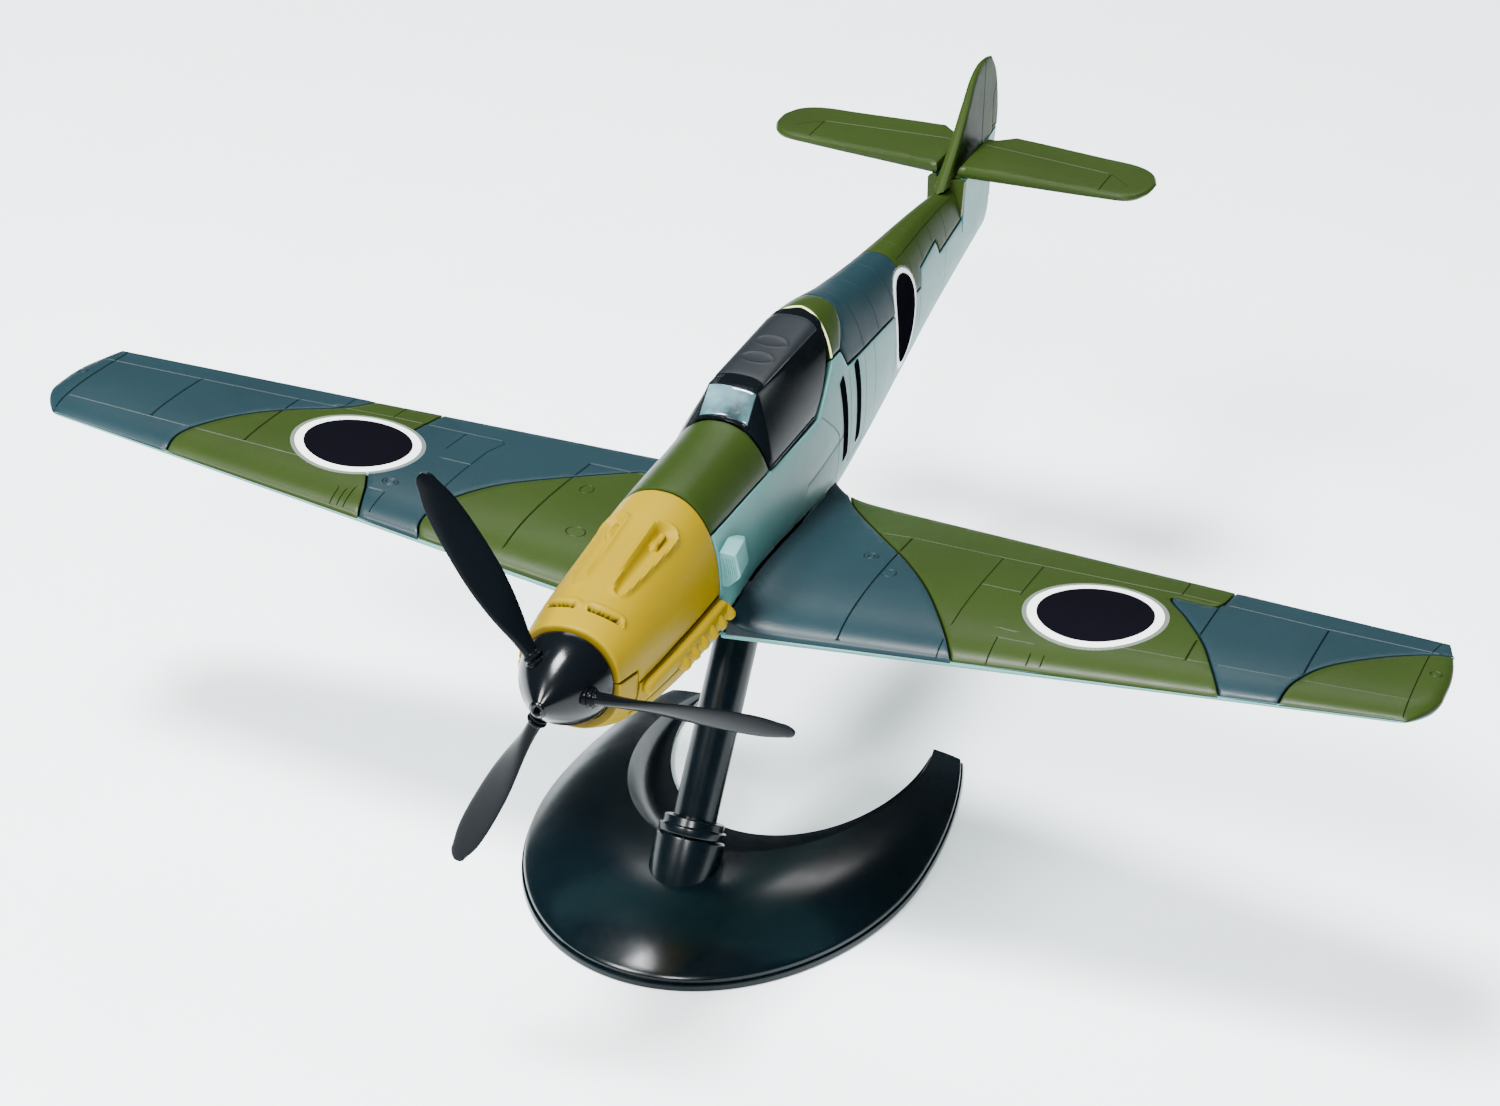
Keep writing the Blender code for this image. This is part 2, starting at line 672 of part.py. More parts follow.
def scoop_ring(y, corners):
    """A section of the intake: its outer corners, and an inner edge that stays just off the side skin."""
    inner = [(half_width(y, z) + GAP, z) for z in (corners[-1][1], corners[0][1])]
    middle = 0.5 * (corners[-1][1] + corners[0][1])
    inner.insert(1, (half_width(y, middle) + GAP, middle))
    return [at(x, y, z) for x, z in list(corners) + inner]


def make_scoop():
    """The supercharger's intake: a boxy scoop with a flat face, on the port side only."""
    face = [(13.3, 5.5), (14.4, 1.7), (14.1, 1.0), (12.2, -0.9)]
    rings = [scoop_ring(51.8, face)]
    rings.append(scoop_ring(56.0, [(13.2, 6.3), (14.2, 2.3), (13.9, 1.6), (12.0, -0.2)]))
    rings.append(scoop_ring(59.5, [(11.9, 5.0), (12.4, 2.6), (12.3, 2.2), (11.8, 1.0)]))
    tube_of_rings("supercharger_intake", rings, PALE, 0.4)


# ---------------------------------------------------------------- cockpit


def canopy_half(t):
    """Half of the canopy's section, sill to roof: t is 0 at the windscreen's foot and 1 at the rear rim."""
    foot_angle = angle_at(77.3, SILL + 0.2)
    foot = []
    for share in (1, 0.78, 0.6, 0.42, 0.25, 0):
        x, y, z = body_point(77.3, foot_angle * share)
        foot.append((y, x, z))
    screen = [(78.5, 9.5, SILL + 0.2), (79.4, 8.0, 13.0), (80.8, 6.0, 17.2)]
    screen += [(82.2, 4.7, 20.6), (82.5, 3.4, 21.2), (82.5, 0, 21.4)]
    rear = [(98.7, 9.4, SILL + 0.2), (105.0, 8.6, 12.8), (109.9, 7.1, 17.2)]
    rear += [(112.5, 5.2, 20.4), (113.8, 3.3, 21.8), (114.2, 0, 22.2)]
    if t <= 0.25:
        a, b, s = foot, screen, t / 0.25
    else:
        a, b, s = screen, rear, (t - 0.25) / 0.75
    return [tuple(p + (q - p) * s for p, q in zip(m, n)) for m, n in zip(a, b)]


def make_canopy():
    outer = []
    inner = []
    for t in (0.0, 0.12, 0.25, 0.45, 0.7, 1.0):
        half = canopy_half(t)
        whole = half + [(y, -x, z) for y, x, z in reversed(half[:-1])]
        outer.append([at(x, y, z) for y, x, z in whole])
        row = []
        for y, x, z in whole:
            row.append(at(x * 0.87, y + 0.5 - 0.5 * t, (z - SILL) * 0.92 + SILL + 0.05))
        inner.append(row)
    closed_grid("canopy", outer, inner, SMOKE, 0.08)


def make_cockpit():
    tub_low = (-7.0, 79.0, -0.9)
    tub = block("cockpit_tub", tub_low, (7.0, 110.0, 6.5))
    well = block("tub_well", (-5.8, 80.2, 0.6), (5.8, 108.8, 9.0), keep=False)
    boolean(tub, well, "DIFFERENCE")
    seat = block("seat", (-4.0, 94.0, 1.0), (4.0, 103.0, 3.4))
    back = block("seat_back", (-4.0, 101.0, 1.2), (4.0, 103.6, 12.0), keep=False)
    head = block("head_rest", (-2.2, 101.2, 11.0), (2.2, 103.4, 16.0), keep=False)
    boolean(seat, back, "UNION")
    boolean(seat, head, "UNION")
    block("instrument_panel", (-5.2, 80.6, 1.0), (5.2, 82.0, 12.6))


# ---------------------------------------------------------------- fuselage skins


def deck(name, line, colour, columns, front_bend=0.0, rear_bend=0.0):
    """A skin over the spine; its front and rear joints may lean aft towards the middle."""
    edge = camo_side(line)
    rows = across(mirrored(edge), edge, columns)
    bent = []
    for i, row in enumerate(rows):
        t = i / (len(rows) - 1)
        bent.append([])
        for j, (y, a) in enumerate(row):
            rise = (1 - abs(2 * j / columns - 1)) ** 0.8
            bent[-1].append((y + rise * (front_bend * (1 - t) ** 1.5 + rear_bend * t), a))
    outer = [[at(*body_point(y, a)) for y, a in row] for row in bent]
    inner = [[at(*body_point(y, a, WALL)) for y, a in row] for row in bent]
    closed_grid(name, outer, inner, colour, 0.42)


def make_decks():
    gap = GAP / 2
    front = [(COWL_REAR + gap + 6.4 * n, SILL + gap) for n in range(4)] + [(DECK_REAR, SILL + gap)]
    deck("deck_front", front, GREEN, 12)
    collar = [(110.9, 15.6), (115.3, 15.4)]
    deck("deck_rear_green", collar, GREEN, 12, COLLAR_FRONT - 110.4, COLLAR_LEAN)
    middle = [(115.6, 15.4), (117.1, 11.8), (124.0, 10.9), (132.0, 10.0), (140.0, 9.1), (148.0, 8.1)]
    middle += [(DECK_JOINT - gap, 7.2)]
    deck("deck_mid_blue", middle, BLUE, 12, COLLAR_LEAN)
    tail = [(DECK_JOINT + gap, 7.1), (166.2, 5.9), (167.4, 9.6), (173.0, 10.0), (179.5, 10.4), (181.3, 7.1)]
    tail += [(188.0, 7.2), (196.6, 7.5)]
    deck("deck_tail_green", tail, GREEN, 8)


def side_upper():
    """The line between the pale side and what is above it, as (distance aft, height) points."""
    low = SILL - GAP / 2
    line = [(COWL_REAR + 0.15, low), (64.0, low), (77.0, low), (88.0, low), (99.8, low), (106.2, 12.6)]
    line += [(110.9, 15.2), (115.2, 15.0), (116.9, 11.4), (124.0, 10.5), (140.0, 8.7), (156.0, 6.8)]
    line += [(166.6, 5.5), (167.8, 9.2), (179.2, 9.9), (181.2, 6.6), (196.0, 6.9), (204.0, 7.2)]
    return line + [(213.2, 7.2), (TAIL_END, 7.2)]


def side_lower():
    """The lower edge, over the wing's root fillet and along the keel line, as (distance, degrees)."""
    line = [(y, angle_at(y, z)) for y, z in SIDE_TOE]
    for y in (57.0, 68.0, 79.0, 90.0, 100.0, 109.1):
        line.append((y, angle_at(y, wing_height(ROOT_X + 0.6, y, 1) - 0.1)))
    rear = (110.5, 115.0, 121.0, 130.0, 143.0, 157.0, 166.0, 172.0, 179.0, 185.0, 196.0, 204.0, TAIL_END)
    for y in rear:
        line.append((y, KEEL_ANGLE))
    return line


def make_sides():
    for sign, name in ((1, "side_left"), (-1, "side_right")):
        upper = camo_side(side_upper())
        lower = side_lower()
        if sign < 0:
            upper, lower = mirrored(upper), mirrored(lower)
        side = skin(name, upper, lower, PALE, 0.42, 8)
        boolean(side, tail_cheek(name + "_cheek", sign), "UNION")


def tail_cheek(name, sign):
    """The upright wall that carries the tailplane, above the rear end of a side skin."""
    outer = []
    inner = []
    for y, x in ((198.2, 3.85), (206.0, 3.5), (213.0, 3.0), (TAIL_END, 2.55)):
        low = 4.0
        heights = (low, 10.0, CHEEK_TOP)
        outer.append([at(sign * x, y, z) for z in heights])
        inner.append([at(sign * (x - 1.2), y, z) for z in heights])
    return closed_grid(name, outer, inner, PALE, 0.42, keep=False)


def make_belly():
    left = [(y, angle_at(y, BELLY_EDGE)) for y in (51.2, 60.0, 70.0, 80.0, 90.0, 100.0, 109.4)]
    right = [(y, 360.0 - a) for y, a in left]
    belly = skin("fuselage_belly", left, right, PALE, 0.42, 10)
    start = POST_FOOT + POST_DIR * 40.0
    hole = rod("belly_hole", start, POST_DIR, 40.0, SOCKET_RADIUS + 0.4, sides=24, keep=False)
    boolean(belly, hole, "DIFFERENCE")


# ---------------------------------------------------------------- wings


PORT_INNER = (
    (51.0, NOSE_C), (45.7, 0.2), (39.8, 0.4), (33.0, 0.58),
    (25.8, 0.73), (16.7, 0.914), (13.4, 1.0),
)
PORT_MIDDLE = (
    (97.0, NOSE_C), (94.0, 0.17), (90.3, 0.38), (85.3, 0.59),
    (80.6, 0.775), (88.6, 0.79), (90.2, 1.0),
)
PORT_OUTER = (
    (106.9, NOSE_C), (107.8, 0.14), (110.3, 0.30), (113.8, 0.44),
    (120.2, 0.63), (126.0, 0.77), (131.0, 0.86),
)
STARBOARD_OUTER = (
    (103.2, NOSE_C), (103.1, 0.12), (101.3, 0.25), (96.4, 0.49),
    (90.3, 0.68), (83.0, 0.84), (79.0, 1.0),
)
STARBOARD_MIDDLE = (
    (62.4, NOSE_C), (64.2, 0.15), (66.3, 0.27), (68.0, 0.4),
    (68.5, 0.52), (67.5, 0.7), (66.0, 1.0),
)
STARBOARD_INNER = (
    (49.9, NOSE_C), (50.9, 0.06), (50.2, 0.16), (47.5, 0.30),
    (42.8, 0.46), (35.6, 0.62), (24.3, 0.84),
)
SPAN_ROWS = 14


def plan_curve(points, sign, inset):
    line = spline([chord_point(x, c) for x, c in points], SPAN_ROWS)
    return [(sign * x, y) for x, y in shifted(line, -inset)]


def root_line(sign, last=1.0):
    line = []
    for n in range(SPAN_ROWS + 1):
        c = NOSE_C + (last - NOSE_C) * n / SPAN_ROWS
        x, y = chord_point(root_x(c, 1), c)
        line.append((sign * x, y))
    return line


def tip_line(sign, first=NOSE_C, last=1.0):
    line = []
    for n in range(SPAN_ROWS + 1):
        c = first + (last - first) * n / SPAN_ROWS
        x, y = chord_point(tip_edge(c), c)
        line.append((sign * x, y))
    return line


def make_wings():
    half = GAP / 2
    upper_panel("wing_inner_left_blue", root_line(1), plan_curve(PORT_INNER, 1, half), BLUE, 6)
    middle_green = (plan_curve(PORT_INNER, 1, -half), plan_curve(PORT_MIDDLE, 1, half))
    upper_panel("wing_mid_left_green", *middle_green, GREEN, 8)
    make_outer_left(half)
    upper_panel("wing_tip_right_blue", plan_curve(STARBOARD_OUTER, -1, -half), tip_line(-1), BLUE, 5)
    outer_green = (plan_curve(STARBOARD_MIDDLE, -1, -half), plan_curve(STARBOARD_OUTER, -1, half))
    upper_panel("wing_outer_right_green", *outer_green, GREEN, 6)
    make_inner_right(half)
    for sign, name in ((1, "wing_lower_left"), (-1, "wing_lower_right")):
        lower_skin(name, sign)


def make_outer_left(half):
    """The blue outer panel ends on a curve that reaches the tip, and the green tip is outside it."""
    curve = plan_curve(PORT_OUTER, 1, half)
    corner = tip_line(1, 0.885, 1.0)
    edge = curve + corner
    inner = resample(plan_curve(PORT_MIDDLE, 1, -half), len(edge) - 1)
    upper_panel("wing_outer_left_blue", inner, edge, BLUE, 5)
    tip = plan_curve(PORT_OUTER, 1, -half)
    upper_panel("wing_tip_left_green", tip, tip_line(1, NOSE_C, 0.835), GREEN, 5)


def make_inner_right(half):
    """The green inner panel ends aft on a curve that runs to the root, and the blue takes the rest."""
    curve = plan_curve(STARBOARD_INNER, -1, half)
    upper_panel("wing_inner_right_green", root_line(-1, 0.78), curve, GREEN, 6)
    edge = plan_curve(STARBOARD_INNER, -1, -half)
    x0, y0 = chord_point(root_x(0.82, 1), 0.82)
    x1, y1 = chord_point(root_x(1.0, 1), 1.0)
    edge += [(-x0, y0), (-x1, y1)]
    outer = resample(plan_curve(STARBOARD_MIDDLE, -1, half), len(edge) - 1)
    upper_panel("wing_mid_right_blue", edge, outer, BLUE, 7)


# ---------------------------------------------------------------- tail


def plate_z(name, front, rear, middle, thick, colour, columns):
    """A flat tail surface: front and rear edges in plan, thickest near its front."""
    forms = {0.0: 0.25, 0.12: 0.75, 0.4: 1.0, 0.75: 0.7, 1.0: 0.3}
    upper = []
    lower = []
    for c in forms:
        upper.append([])
        lower.append([])
        for j in range(columns + 1):
            t = j / columns
            (ax, ay), (bx, by) = front(t), rear(t)
            x, y = ax + (bx - ax) * c, ay + (by - ay) * c
            swell = thick(t) / 2 * forms[c]
            upper[-1].append(at(x, y, middle + swell))
            lower[-1].append(at(x, y, middle - swell))
    return closed_grid(name, upper, lower, colour, 0.42)


def polyline_at(points):
    def where(t):
        return resample(points, 1000)[round(t * 1000)]

    return where


def make_tail():
    inboard = [(2.2, 197.2), (16.0, 198.0), (30.0, 198.9)]
    front = spline(inboard + [(37.2, 200.0), (40.0, 204.4), (40.4, 208.8)], 12)
    rear = [(2.2, 215.2), (4.4, 215.6), (7.6, 218.8)]
    rear += spline([(14.0, 218.4), (26.0, 217.3), (34.0, 216.6), (38.4, 214.0), (40.4, 209.4)], 10)
    for sign, name in ((1, "tailplane_left"), (-1, "tailplane_right")):
        a = polyline_at([(sign * x, y) for x, y in front])
        b = polyline_at([(sign * x, y) for x, y in rear])
        plate_z(name, a, b, TAILPLANE_Z, lambda t: 2.6 - 1.2 * t, GREEN, 14)
    make_fin()
    make_rudder_foot()


def make_fin():
    """The fin and rudder in one blade, on a block between the cheeks that the tailplane rests on."""
    lead = [(191.5, 14.4), (200.0, 21.5), (206.0, 27.9), (209.8, 32.4), (214.0, 34.3), (218.6, 34.3)]
    trail = [(224.0, 16.0), (LENGTH, 16.6), (LENGTH, 20.0), (227.0, 24.5), (225.0, 29.5), (221.4, 33.6)]
    rows = 12
    port = []
    starboard = []
    for (ay, az), (by, bz) in zip(spline(lead, rows), spline(trail, rows)):
        port.append([])
        starboard.append([])
        for c, form in ((0.0, 0.45), (0.12, 0.9), (0.4, 1.0), (0.8, 0.6), (1.0, 0.3)):
            y = min(LENGTH, ay + (by - ay) * c)
            z = max(az + (bz - az) * c, station(min(y, 222.0))[0] + 0.4)
            swell = (0.8 + 0.5 * max(0.0, 1 - (z - 14) / 20)) * form
            port[-1].append(at(swell, y, z))
            starboard[-1].append(at(-swell, y, z))
    fin = closed_grid("tail_fin", port, starboard, GREEN, 0.42)
    rings = []
    for y, x in ((197.2, 2.3), (206.0, 1.95), (213.0, 1.45), (TAIL_END - 1.0, 1.0)):
        rings.append([at(a * x, y, z) for a, z in ((-1, 9.0), (1, 9.0), (1, CHEEK_TOP), (-1, CHEEK_TOP))])
    boolean(fin, tube_of_rings("fin_block", rings, GREEN, keep=False), "UNION")
    corners = ((-3.7, 7.9), (3.7, 7.9), (3.9, CHEEK_TOP), (-3.9, CHEEK_TOP))
    face, back = ([at(x, y, z) for x, z in corners] for y in (196.9, 197.9))
    boolean(fin, tube_of_rings("fin_front", [face, back], GREEN, keep=False), "UNION")


def make_rudder_foot():
    """The rudder below the tailplane, which closes the fuselage's rear end."""
    rings = []
    for z, y, wide in ((-3.4, 222.5, 1.0), (0.0, 224.6, 1.5), (8.0, 226.6, 1.5), (15.3, 227.6, 1.2)):
        front = TAIL_END + GAP
        rings.append([at(-wide, front, z), at(wide, front, z), at(0.35, y, z), at(-0.35, y, z)])
    tube_of_rings("rudder_foot", rings, PALE, 0.42)


def main():
    clear_scene()
    make_stand()
    make_core()
    make_propeller()
    make_cowl()
    make_scoop()
    make_canopy()
    make_cockpit()
    make_decks()
    make_sides()
    make_belly()
    make_wings()
    make_tail()


main()
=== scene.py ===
"""The looks of a snap-together display model of a low-wing fighter on a crescent stand.

Lengths are millimetres in the aeroplane's own frame: x to port, y aft from the spinner's tip, z up from the
thrust line. at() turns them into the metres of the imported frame.
"""

import math

import bpy
import numpy as np
from mathutils import Matrix, Vector
from mathutils.geometry import delaunay_2d_cdt


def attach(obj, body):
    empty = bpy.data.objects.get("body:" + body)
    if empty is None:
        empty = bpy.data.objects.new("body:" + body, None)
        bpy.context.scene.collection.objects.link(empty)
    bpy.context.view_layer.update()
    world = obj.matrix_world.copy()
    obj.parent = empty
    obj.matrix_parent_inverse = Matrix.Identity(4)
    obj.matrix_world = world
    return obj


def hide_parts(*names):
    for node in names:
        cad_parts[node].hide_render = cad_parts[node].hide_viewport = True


MM = 0.001
LENGTH = 228.0
TABLE = -80.0
JOINT = 0.15  # half of the gap between two panels
WALL = 1.4
SIDES = ((1, "left"), (-1, "right"))

# The fuselage: distance aft, top, bottom, half width, and the height of the widest point.
STATIONS = (
    (12.5, 9.0, -10.0, 9.2, -0.5),
    (20.0, 10.8, -13.5, 10.2, -1.4),
    (35.0, 13.2, -17.5, 10.9, -2.4),
    (51.0, 15.5, -19.0, 11.1, -3.0),
    (77.0, 16.7, -20.5, 11.2, -3.0),
    (96.0, 20.6, -20.3, 11.1, -2.5),
    (115.0, 22.4, -19.6, 10.4, -1.5),
    (135.0, 18.8, -17.3, 9.0, 0.0),
    (155.0, 16.6, -14.2, 7.3, 1.2),
    (180.0, 15.3, -10.3, 5.0, 2.5),
    (200.0, 13.5, -7.2, 3.6, 3.6),
    (222.0, 12.3, -3.6, 2.3, 4.2),
)
ROUNDNESS = 2.25
TURN = 0.19  # millimetres of skin for each degree, where the fuselage is widest
COWL_FRONT = 12.5
COWL_REAR = 51.0
DECK_REAR = 76.8
COLLAR_FRONT = 114.8
COLLAR_LEAN = 7.4
TAIL_END = 219.0
DECK_JOINT = 156.0
KEEL_ANGLE = 178.6
BELLY_EDGE = -14.4
SIDE_TOE = ((51.15, -14.0), (53.0, -14.0), (54.5, -13.9), (54.6, -12.2), (55.6, -10.6))
TAILPLANE_Z = 17.3
CHEEK_TOP = 15.8
SILL = 8.8
SCREEN_T = 0.25  # where the windscreen ends, as a share of the canopy
SCREEN_FOOT = 77.3
# Half sections of the canopy, sill to roof: distance aft, half width and height.
SCREEN_TOP = (
    (78.5, 9.5, SILL + 0.2), (79.4, 8.0, 13.0), (80.8, 6.0, 17.2),
    (82.2, 4.7, 20.6), (82.5, 3.4, 21.2), (82.5, 0, 21.4),
)
CANOPY_REAR = (
    (98.7, 9.4, SILL + 0.2), (105.0, 8.6, 12.8), (109.9, 7.1, 17.2),
    (112.5, 5.2, 20.4), (113.8, 3.3, 21.8), (114.2, 0, 22.2),
)
# The middles of a gun trough and of a hooded slot on the cowl: distance out and distance aft.
TROUGH = ((3.8, 23.5), (4.2, 33.0), (4.6, 41.0))
SLOT = ((1.7, 17.4), (2.8, 17.4), (3.9, 17.55), (5.0, 17.8), (6.1, 18.2))
EXHAUST_TOP = -2.6
EXHAUST_LOW = -9.0
BAR_Z = -4.2
STUBS = 6
STUB_FIRST = 31.8
STUB_STEP = 3.75
STUB_PROFILE = ((0.0, 0.0), (0.0, 1.12), (1.8, 1.16), (2.4, 1.05), (2.75, 0.75), (2.9, 0.0))

ROOT_X = 10.5
TIP_X = 128.3
HALF_SPAN = 132.4
LEADING = (55.0, 63.2)
TRAILING = (109.8, 91.0)
WING_Z = -12.65
DIHEDRAL = 0.0725
ROOT_THICK = 7.75
TIP_THICK = 3.0
UPPER_SHARE = 0.58  # the part of the wing's thickness above its middle

SPINNER_LENGTH = 12.0
SPINNER_RADIUS = 8.3
PROP_Y = 6.8
BLADE_ANGLES = (-34.4, 85.6, 205.6)
# One rib of a blade's root: distance along and radius.
ROOT_RIB = ((0.0, 1.45), (0.08, 1.62), (0.2, 1.75), (0.42, 1.75), (0.56, 1.62), (0.64, 1.42), (0.88, 1.36))
# A blade's sections: distance out, half chord, half thickness and pitch in degrees.
BLADE_SHAPE = (
    (7.7, 1.3, 1.15, 60), (10.5, 1.65, 1.05, 57), (14.0, 2.35, 0.9, 51), (18.0, 2.9, 0.75, 43),
    (23.0, 3.25, 0.6, 36), (30.0, 3.2, 0.5, 29), (36.0, 2.75, 0.42, 24), (40.0, 1.75, 0.35, 21),
)

POST_FOOT = Vector((0.0, 65.0, -72.2))
POST_DIR = Vector((0.0, 0.5195, 0.8545)).normalized()
POST_RADIUS = 4.1
POST_LENGTH = 76.0
SPIGOT_LENGTH = 15.0
SPIGOT_RADIUS = 3.7
BOSS_RADIUS = 6.5
BOSS_TOP = 7.2
COLLAR_TOP = 10.7
# The crescent's plan curves: middle, half width, front reach, rear reach, and the angle of the horns' ends.
BASE_OUTER = (92.5, 38.2, 53.0, 74.0, 124.0)
BASE_RIDGE = (117.0, 27.2, 45.5, 45.5, 113.0)
BASE_INNER = (130.0, 25.0, 37.5, 37.5, 95.0)
BASE_CROWN = 10.2
BASE_TIP = 1.9
BASE_RIM = 2.4
BASE_ROWS = 220

# The colours, in linear light.
YELLOW = (0.205, 0.136, 0.0)
GREEN = (0.0145, 0.0265, 0.0040)
BLUE = (0.0068, 0.0185, 0.0235)
PALE = (0.072, 0.190, 0.183)
BLACK = (0.0015, 0.0022, 0.003)
STAND = (0.0008, 0.0030, 0.0045)
SMOKE = (0.002, 0.003, 0.004)
GREY = (0.09, 0.10, 0.105)
INK = (0.0025, 0.0025, 0.004)
WHITE = (0.80, 0.82, 0.82)
FILM = (0.55, 0.62, 0.60)
FLOOR = (0.89, 0.95, 0.98)
FLOOR_GLOW = 0.35
# A painted highlight: the pale strip along the collar's front edge.
COLLAR_EDGE_HIGHLIGHT = (0.62, 0.60, 0.28)
ROOF = (0.008, 0.010, 0.012)
# A painted reflection: the pale tint of the windscreen's pane, on top of its real gloss.
PANE_REFLECTION_TINT = (0.05, 0.10, 0.115)
# Each look: the material's name, the frame's slot, and the colour, roughness, spread of tone, grain, specular
# level, alpha, coat and scale of the mottling that moulded() takes.
LOOKS = {
    "yellow": ("yellow_plastic", "yellow_nose", YELLOW, 0.38, 0.05, 0.05, 0.07),
    "green": ("olive_plastic", "olive_green", GREEN, 0.36, 0.07, 0.08, 0.13),
    "blue": ("slate_plastic", "slate_blue", BLUE, 0.34, 0.07, 0.08, 0.14),
    "pale": ("pale_plastic", "pale_blue", PALE, 0.42, 0.05, 0.07, 0.2),
    "black": ("black_gloss", "black_gloss", BLACK, 0.16, 0.15, 0.02, 0.22),
    "blade": ("black_blade", "black_gloss", BLACK, 0.18, 0.15, 0.02, 0.05),
    "spine": ("olive_spine", "olive_green", GREEN, 0.42, 0.07, 0.08, 0.04),
    "saddle": ("slate_spine", "slate_blue", BLUE, 0.42, 0.07, 0.08, 0.04),
    "stand": ("black_satin", "black_gloss", STAND, 0.21, 0.15, 0.03, 0.26),
    "smoke": ("smoked_canopy", "smoked_canopy", SMOKE, 0.10, 0.1, 0.0, 0.12, 0.9),
    "grey": ("core_grey", "grey_core", GREY, 0.5, 0.06, 0.1),
    "ink": ("decal_ink", None, INK, 0.38, 0.1, 0.02, 0.0),
    "white": ("decal_white", None, WHITE, 0.4, 0.03, 0.02),
    "film": ("decal_film", None, FILM, 0.22, 0.02, 0.0, 0.5, 0.16),
    "floor": ("pale_floor", None, FLOOR, 0.75, 0.01, 0.0),
    # A painted highlight for the collar's front edge.
    "cream": ("cream_edge", None, COLLAR_EDGE_HIGHLIGHT, 0.45, 0.05, 0.05),
    "roof": ("satin_canopy", "smoked_canopy", ROOF, 0.34, 0.08, 0.05, 0.2),
    # The pane's pale, mostly opaque tint is a painted reflection; its coat gives real ones.
    "pane": ("clear_pane", "smoked_canopy", PANE_REFLECTION_TINT, 0.06, 0.75, 0.0, 0.5, 1.0, 0.35, 170.0),
}
PLASTIC_IOR = 1.47
GLOSS_SCALE = 260.0
GRAIN_SCALE = 2200.0
GRAIN_DEPTH = 0.0002
GROOVE_SHADE = 0.8  # painted shade at the bottom of an engraved line: how far it goes towards the darker tone
GROOVE_SHADE_TONE = 0.08  # the tone of the painted shade in the darkest groove, as a share of the plastic's own

# The marks: name, distance out, distance aft and radius; and their layers: look, share of the radius, lift.
WING_MARKS = (("mark_port", 70.3, 77.8, 11.9), ("mark_starboard", -73.0, 79.5, 11.7))
SIDE_MARK_Y, SIDE_MARK_Z, SIDE_MARK_RADIUS = 155.0, 5.6, 7.4
MARK_LAYERS = (("film", 1.07, 0.03), ("white", 1.0, 0.06), ("ink", 0.86, 0.10))
BARS = (((112.6, 10.6), (114.2, -6.2)), ((121.4, 10.4), (122.0, -6.0)))
BAR_HALF = 1.3

# Lights: name, place and size in metres, power, colour.
LIGHTS = (
    ("key", (-0.50, -0.98, 1.02), (0.34, 0.34), 42.0, (1.0, 0.99, 0.97)),
    ("second", (0.24, -1.12, 0.98), (0.24, 0.24), 19.0, (0.98, 0.99, 1.0)),
    ("back", (-0.25, 1.15, 1.30), (1.0, 0.30), 8.0, (1.0, 1.0, 1.0)),
    ("top", (-0.20, -0.36, 1.42), (0.38, 0.38), 71.0, (0.97, 0.99, 1.0)),
)
LIGHT_AIM = Vector((0.0, 0.0, 0.05))
WORLD_COLOUR = (0.72, 0.88, 1.0, 1.0)
WORLD_STRENGTH = 0.09
FLOOR_HALF = 4.0
FLOOR_DROP = 0.00005  # the floor lies this far below the stand's foot
CAMERA_PLACE = Vector((0.2101, -0.5733, 0.3940))
CAMERA_FORWARD = Vector((-0.30960, 0.81488, -0.49003)).normalized()
CAMERA_RIGHT = Vector((0.92724, 0.37290, 0.03429)).normalized()
CAMERA_LENS = 88.57
CAMERA_SENSOR = 36.0

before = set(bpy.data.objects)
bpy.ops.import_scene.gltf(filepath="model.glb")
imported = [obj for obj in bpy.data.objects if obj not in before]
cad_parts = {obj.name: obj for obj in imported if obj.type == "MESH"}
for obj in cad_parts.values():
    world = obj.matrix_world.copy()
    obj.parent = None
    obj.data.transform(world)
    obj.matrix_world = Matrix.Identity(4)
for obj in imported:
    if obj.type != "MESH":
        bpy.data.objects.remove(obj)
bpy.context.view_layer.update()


def at(x, y, z):
    """Millimetres in the aeroplane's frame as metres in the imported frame; numbers or arrays."""
    return np.stack(np.broadcast_arrays(x * MM, (y - LENGTH / 2) * MM, (z - TABLE) * MM), axis=-1)


# ---------------------------------------------------------------- materials


def link(tree, a, out, b, into):
    tree.links.new(a.outputs[out], b.inputs[into])


def noise(tree, coordinates, scale, detail):
    node = tree.nodes.new("ShaderNodeTexNoise")
    node.inputs["Scale"].default_value = scale
    node.inputs["Detail"].default_value = detail
    link(tree, coordinates, "Object", node, "Vector")
    return node


def ramp(tree, low, high):
    """Two tones that blend over the middle of a noise's range."""
    node = tree.nodes.new("ShaderNodeValToRGB")
    for element, place, colour in zip(node.color_ramp.elements, (0.35, 0.65), (low, high)):
        element.position = place
        element.color = (*colour, 1)
    return node


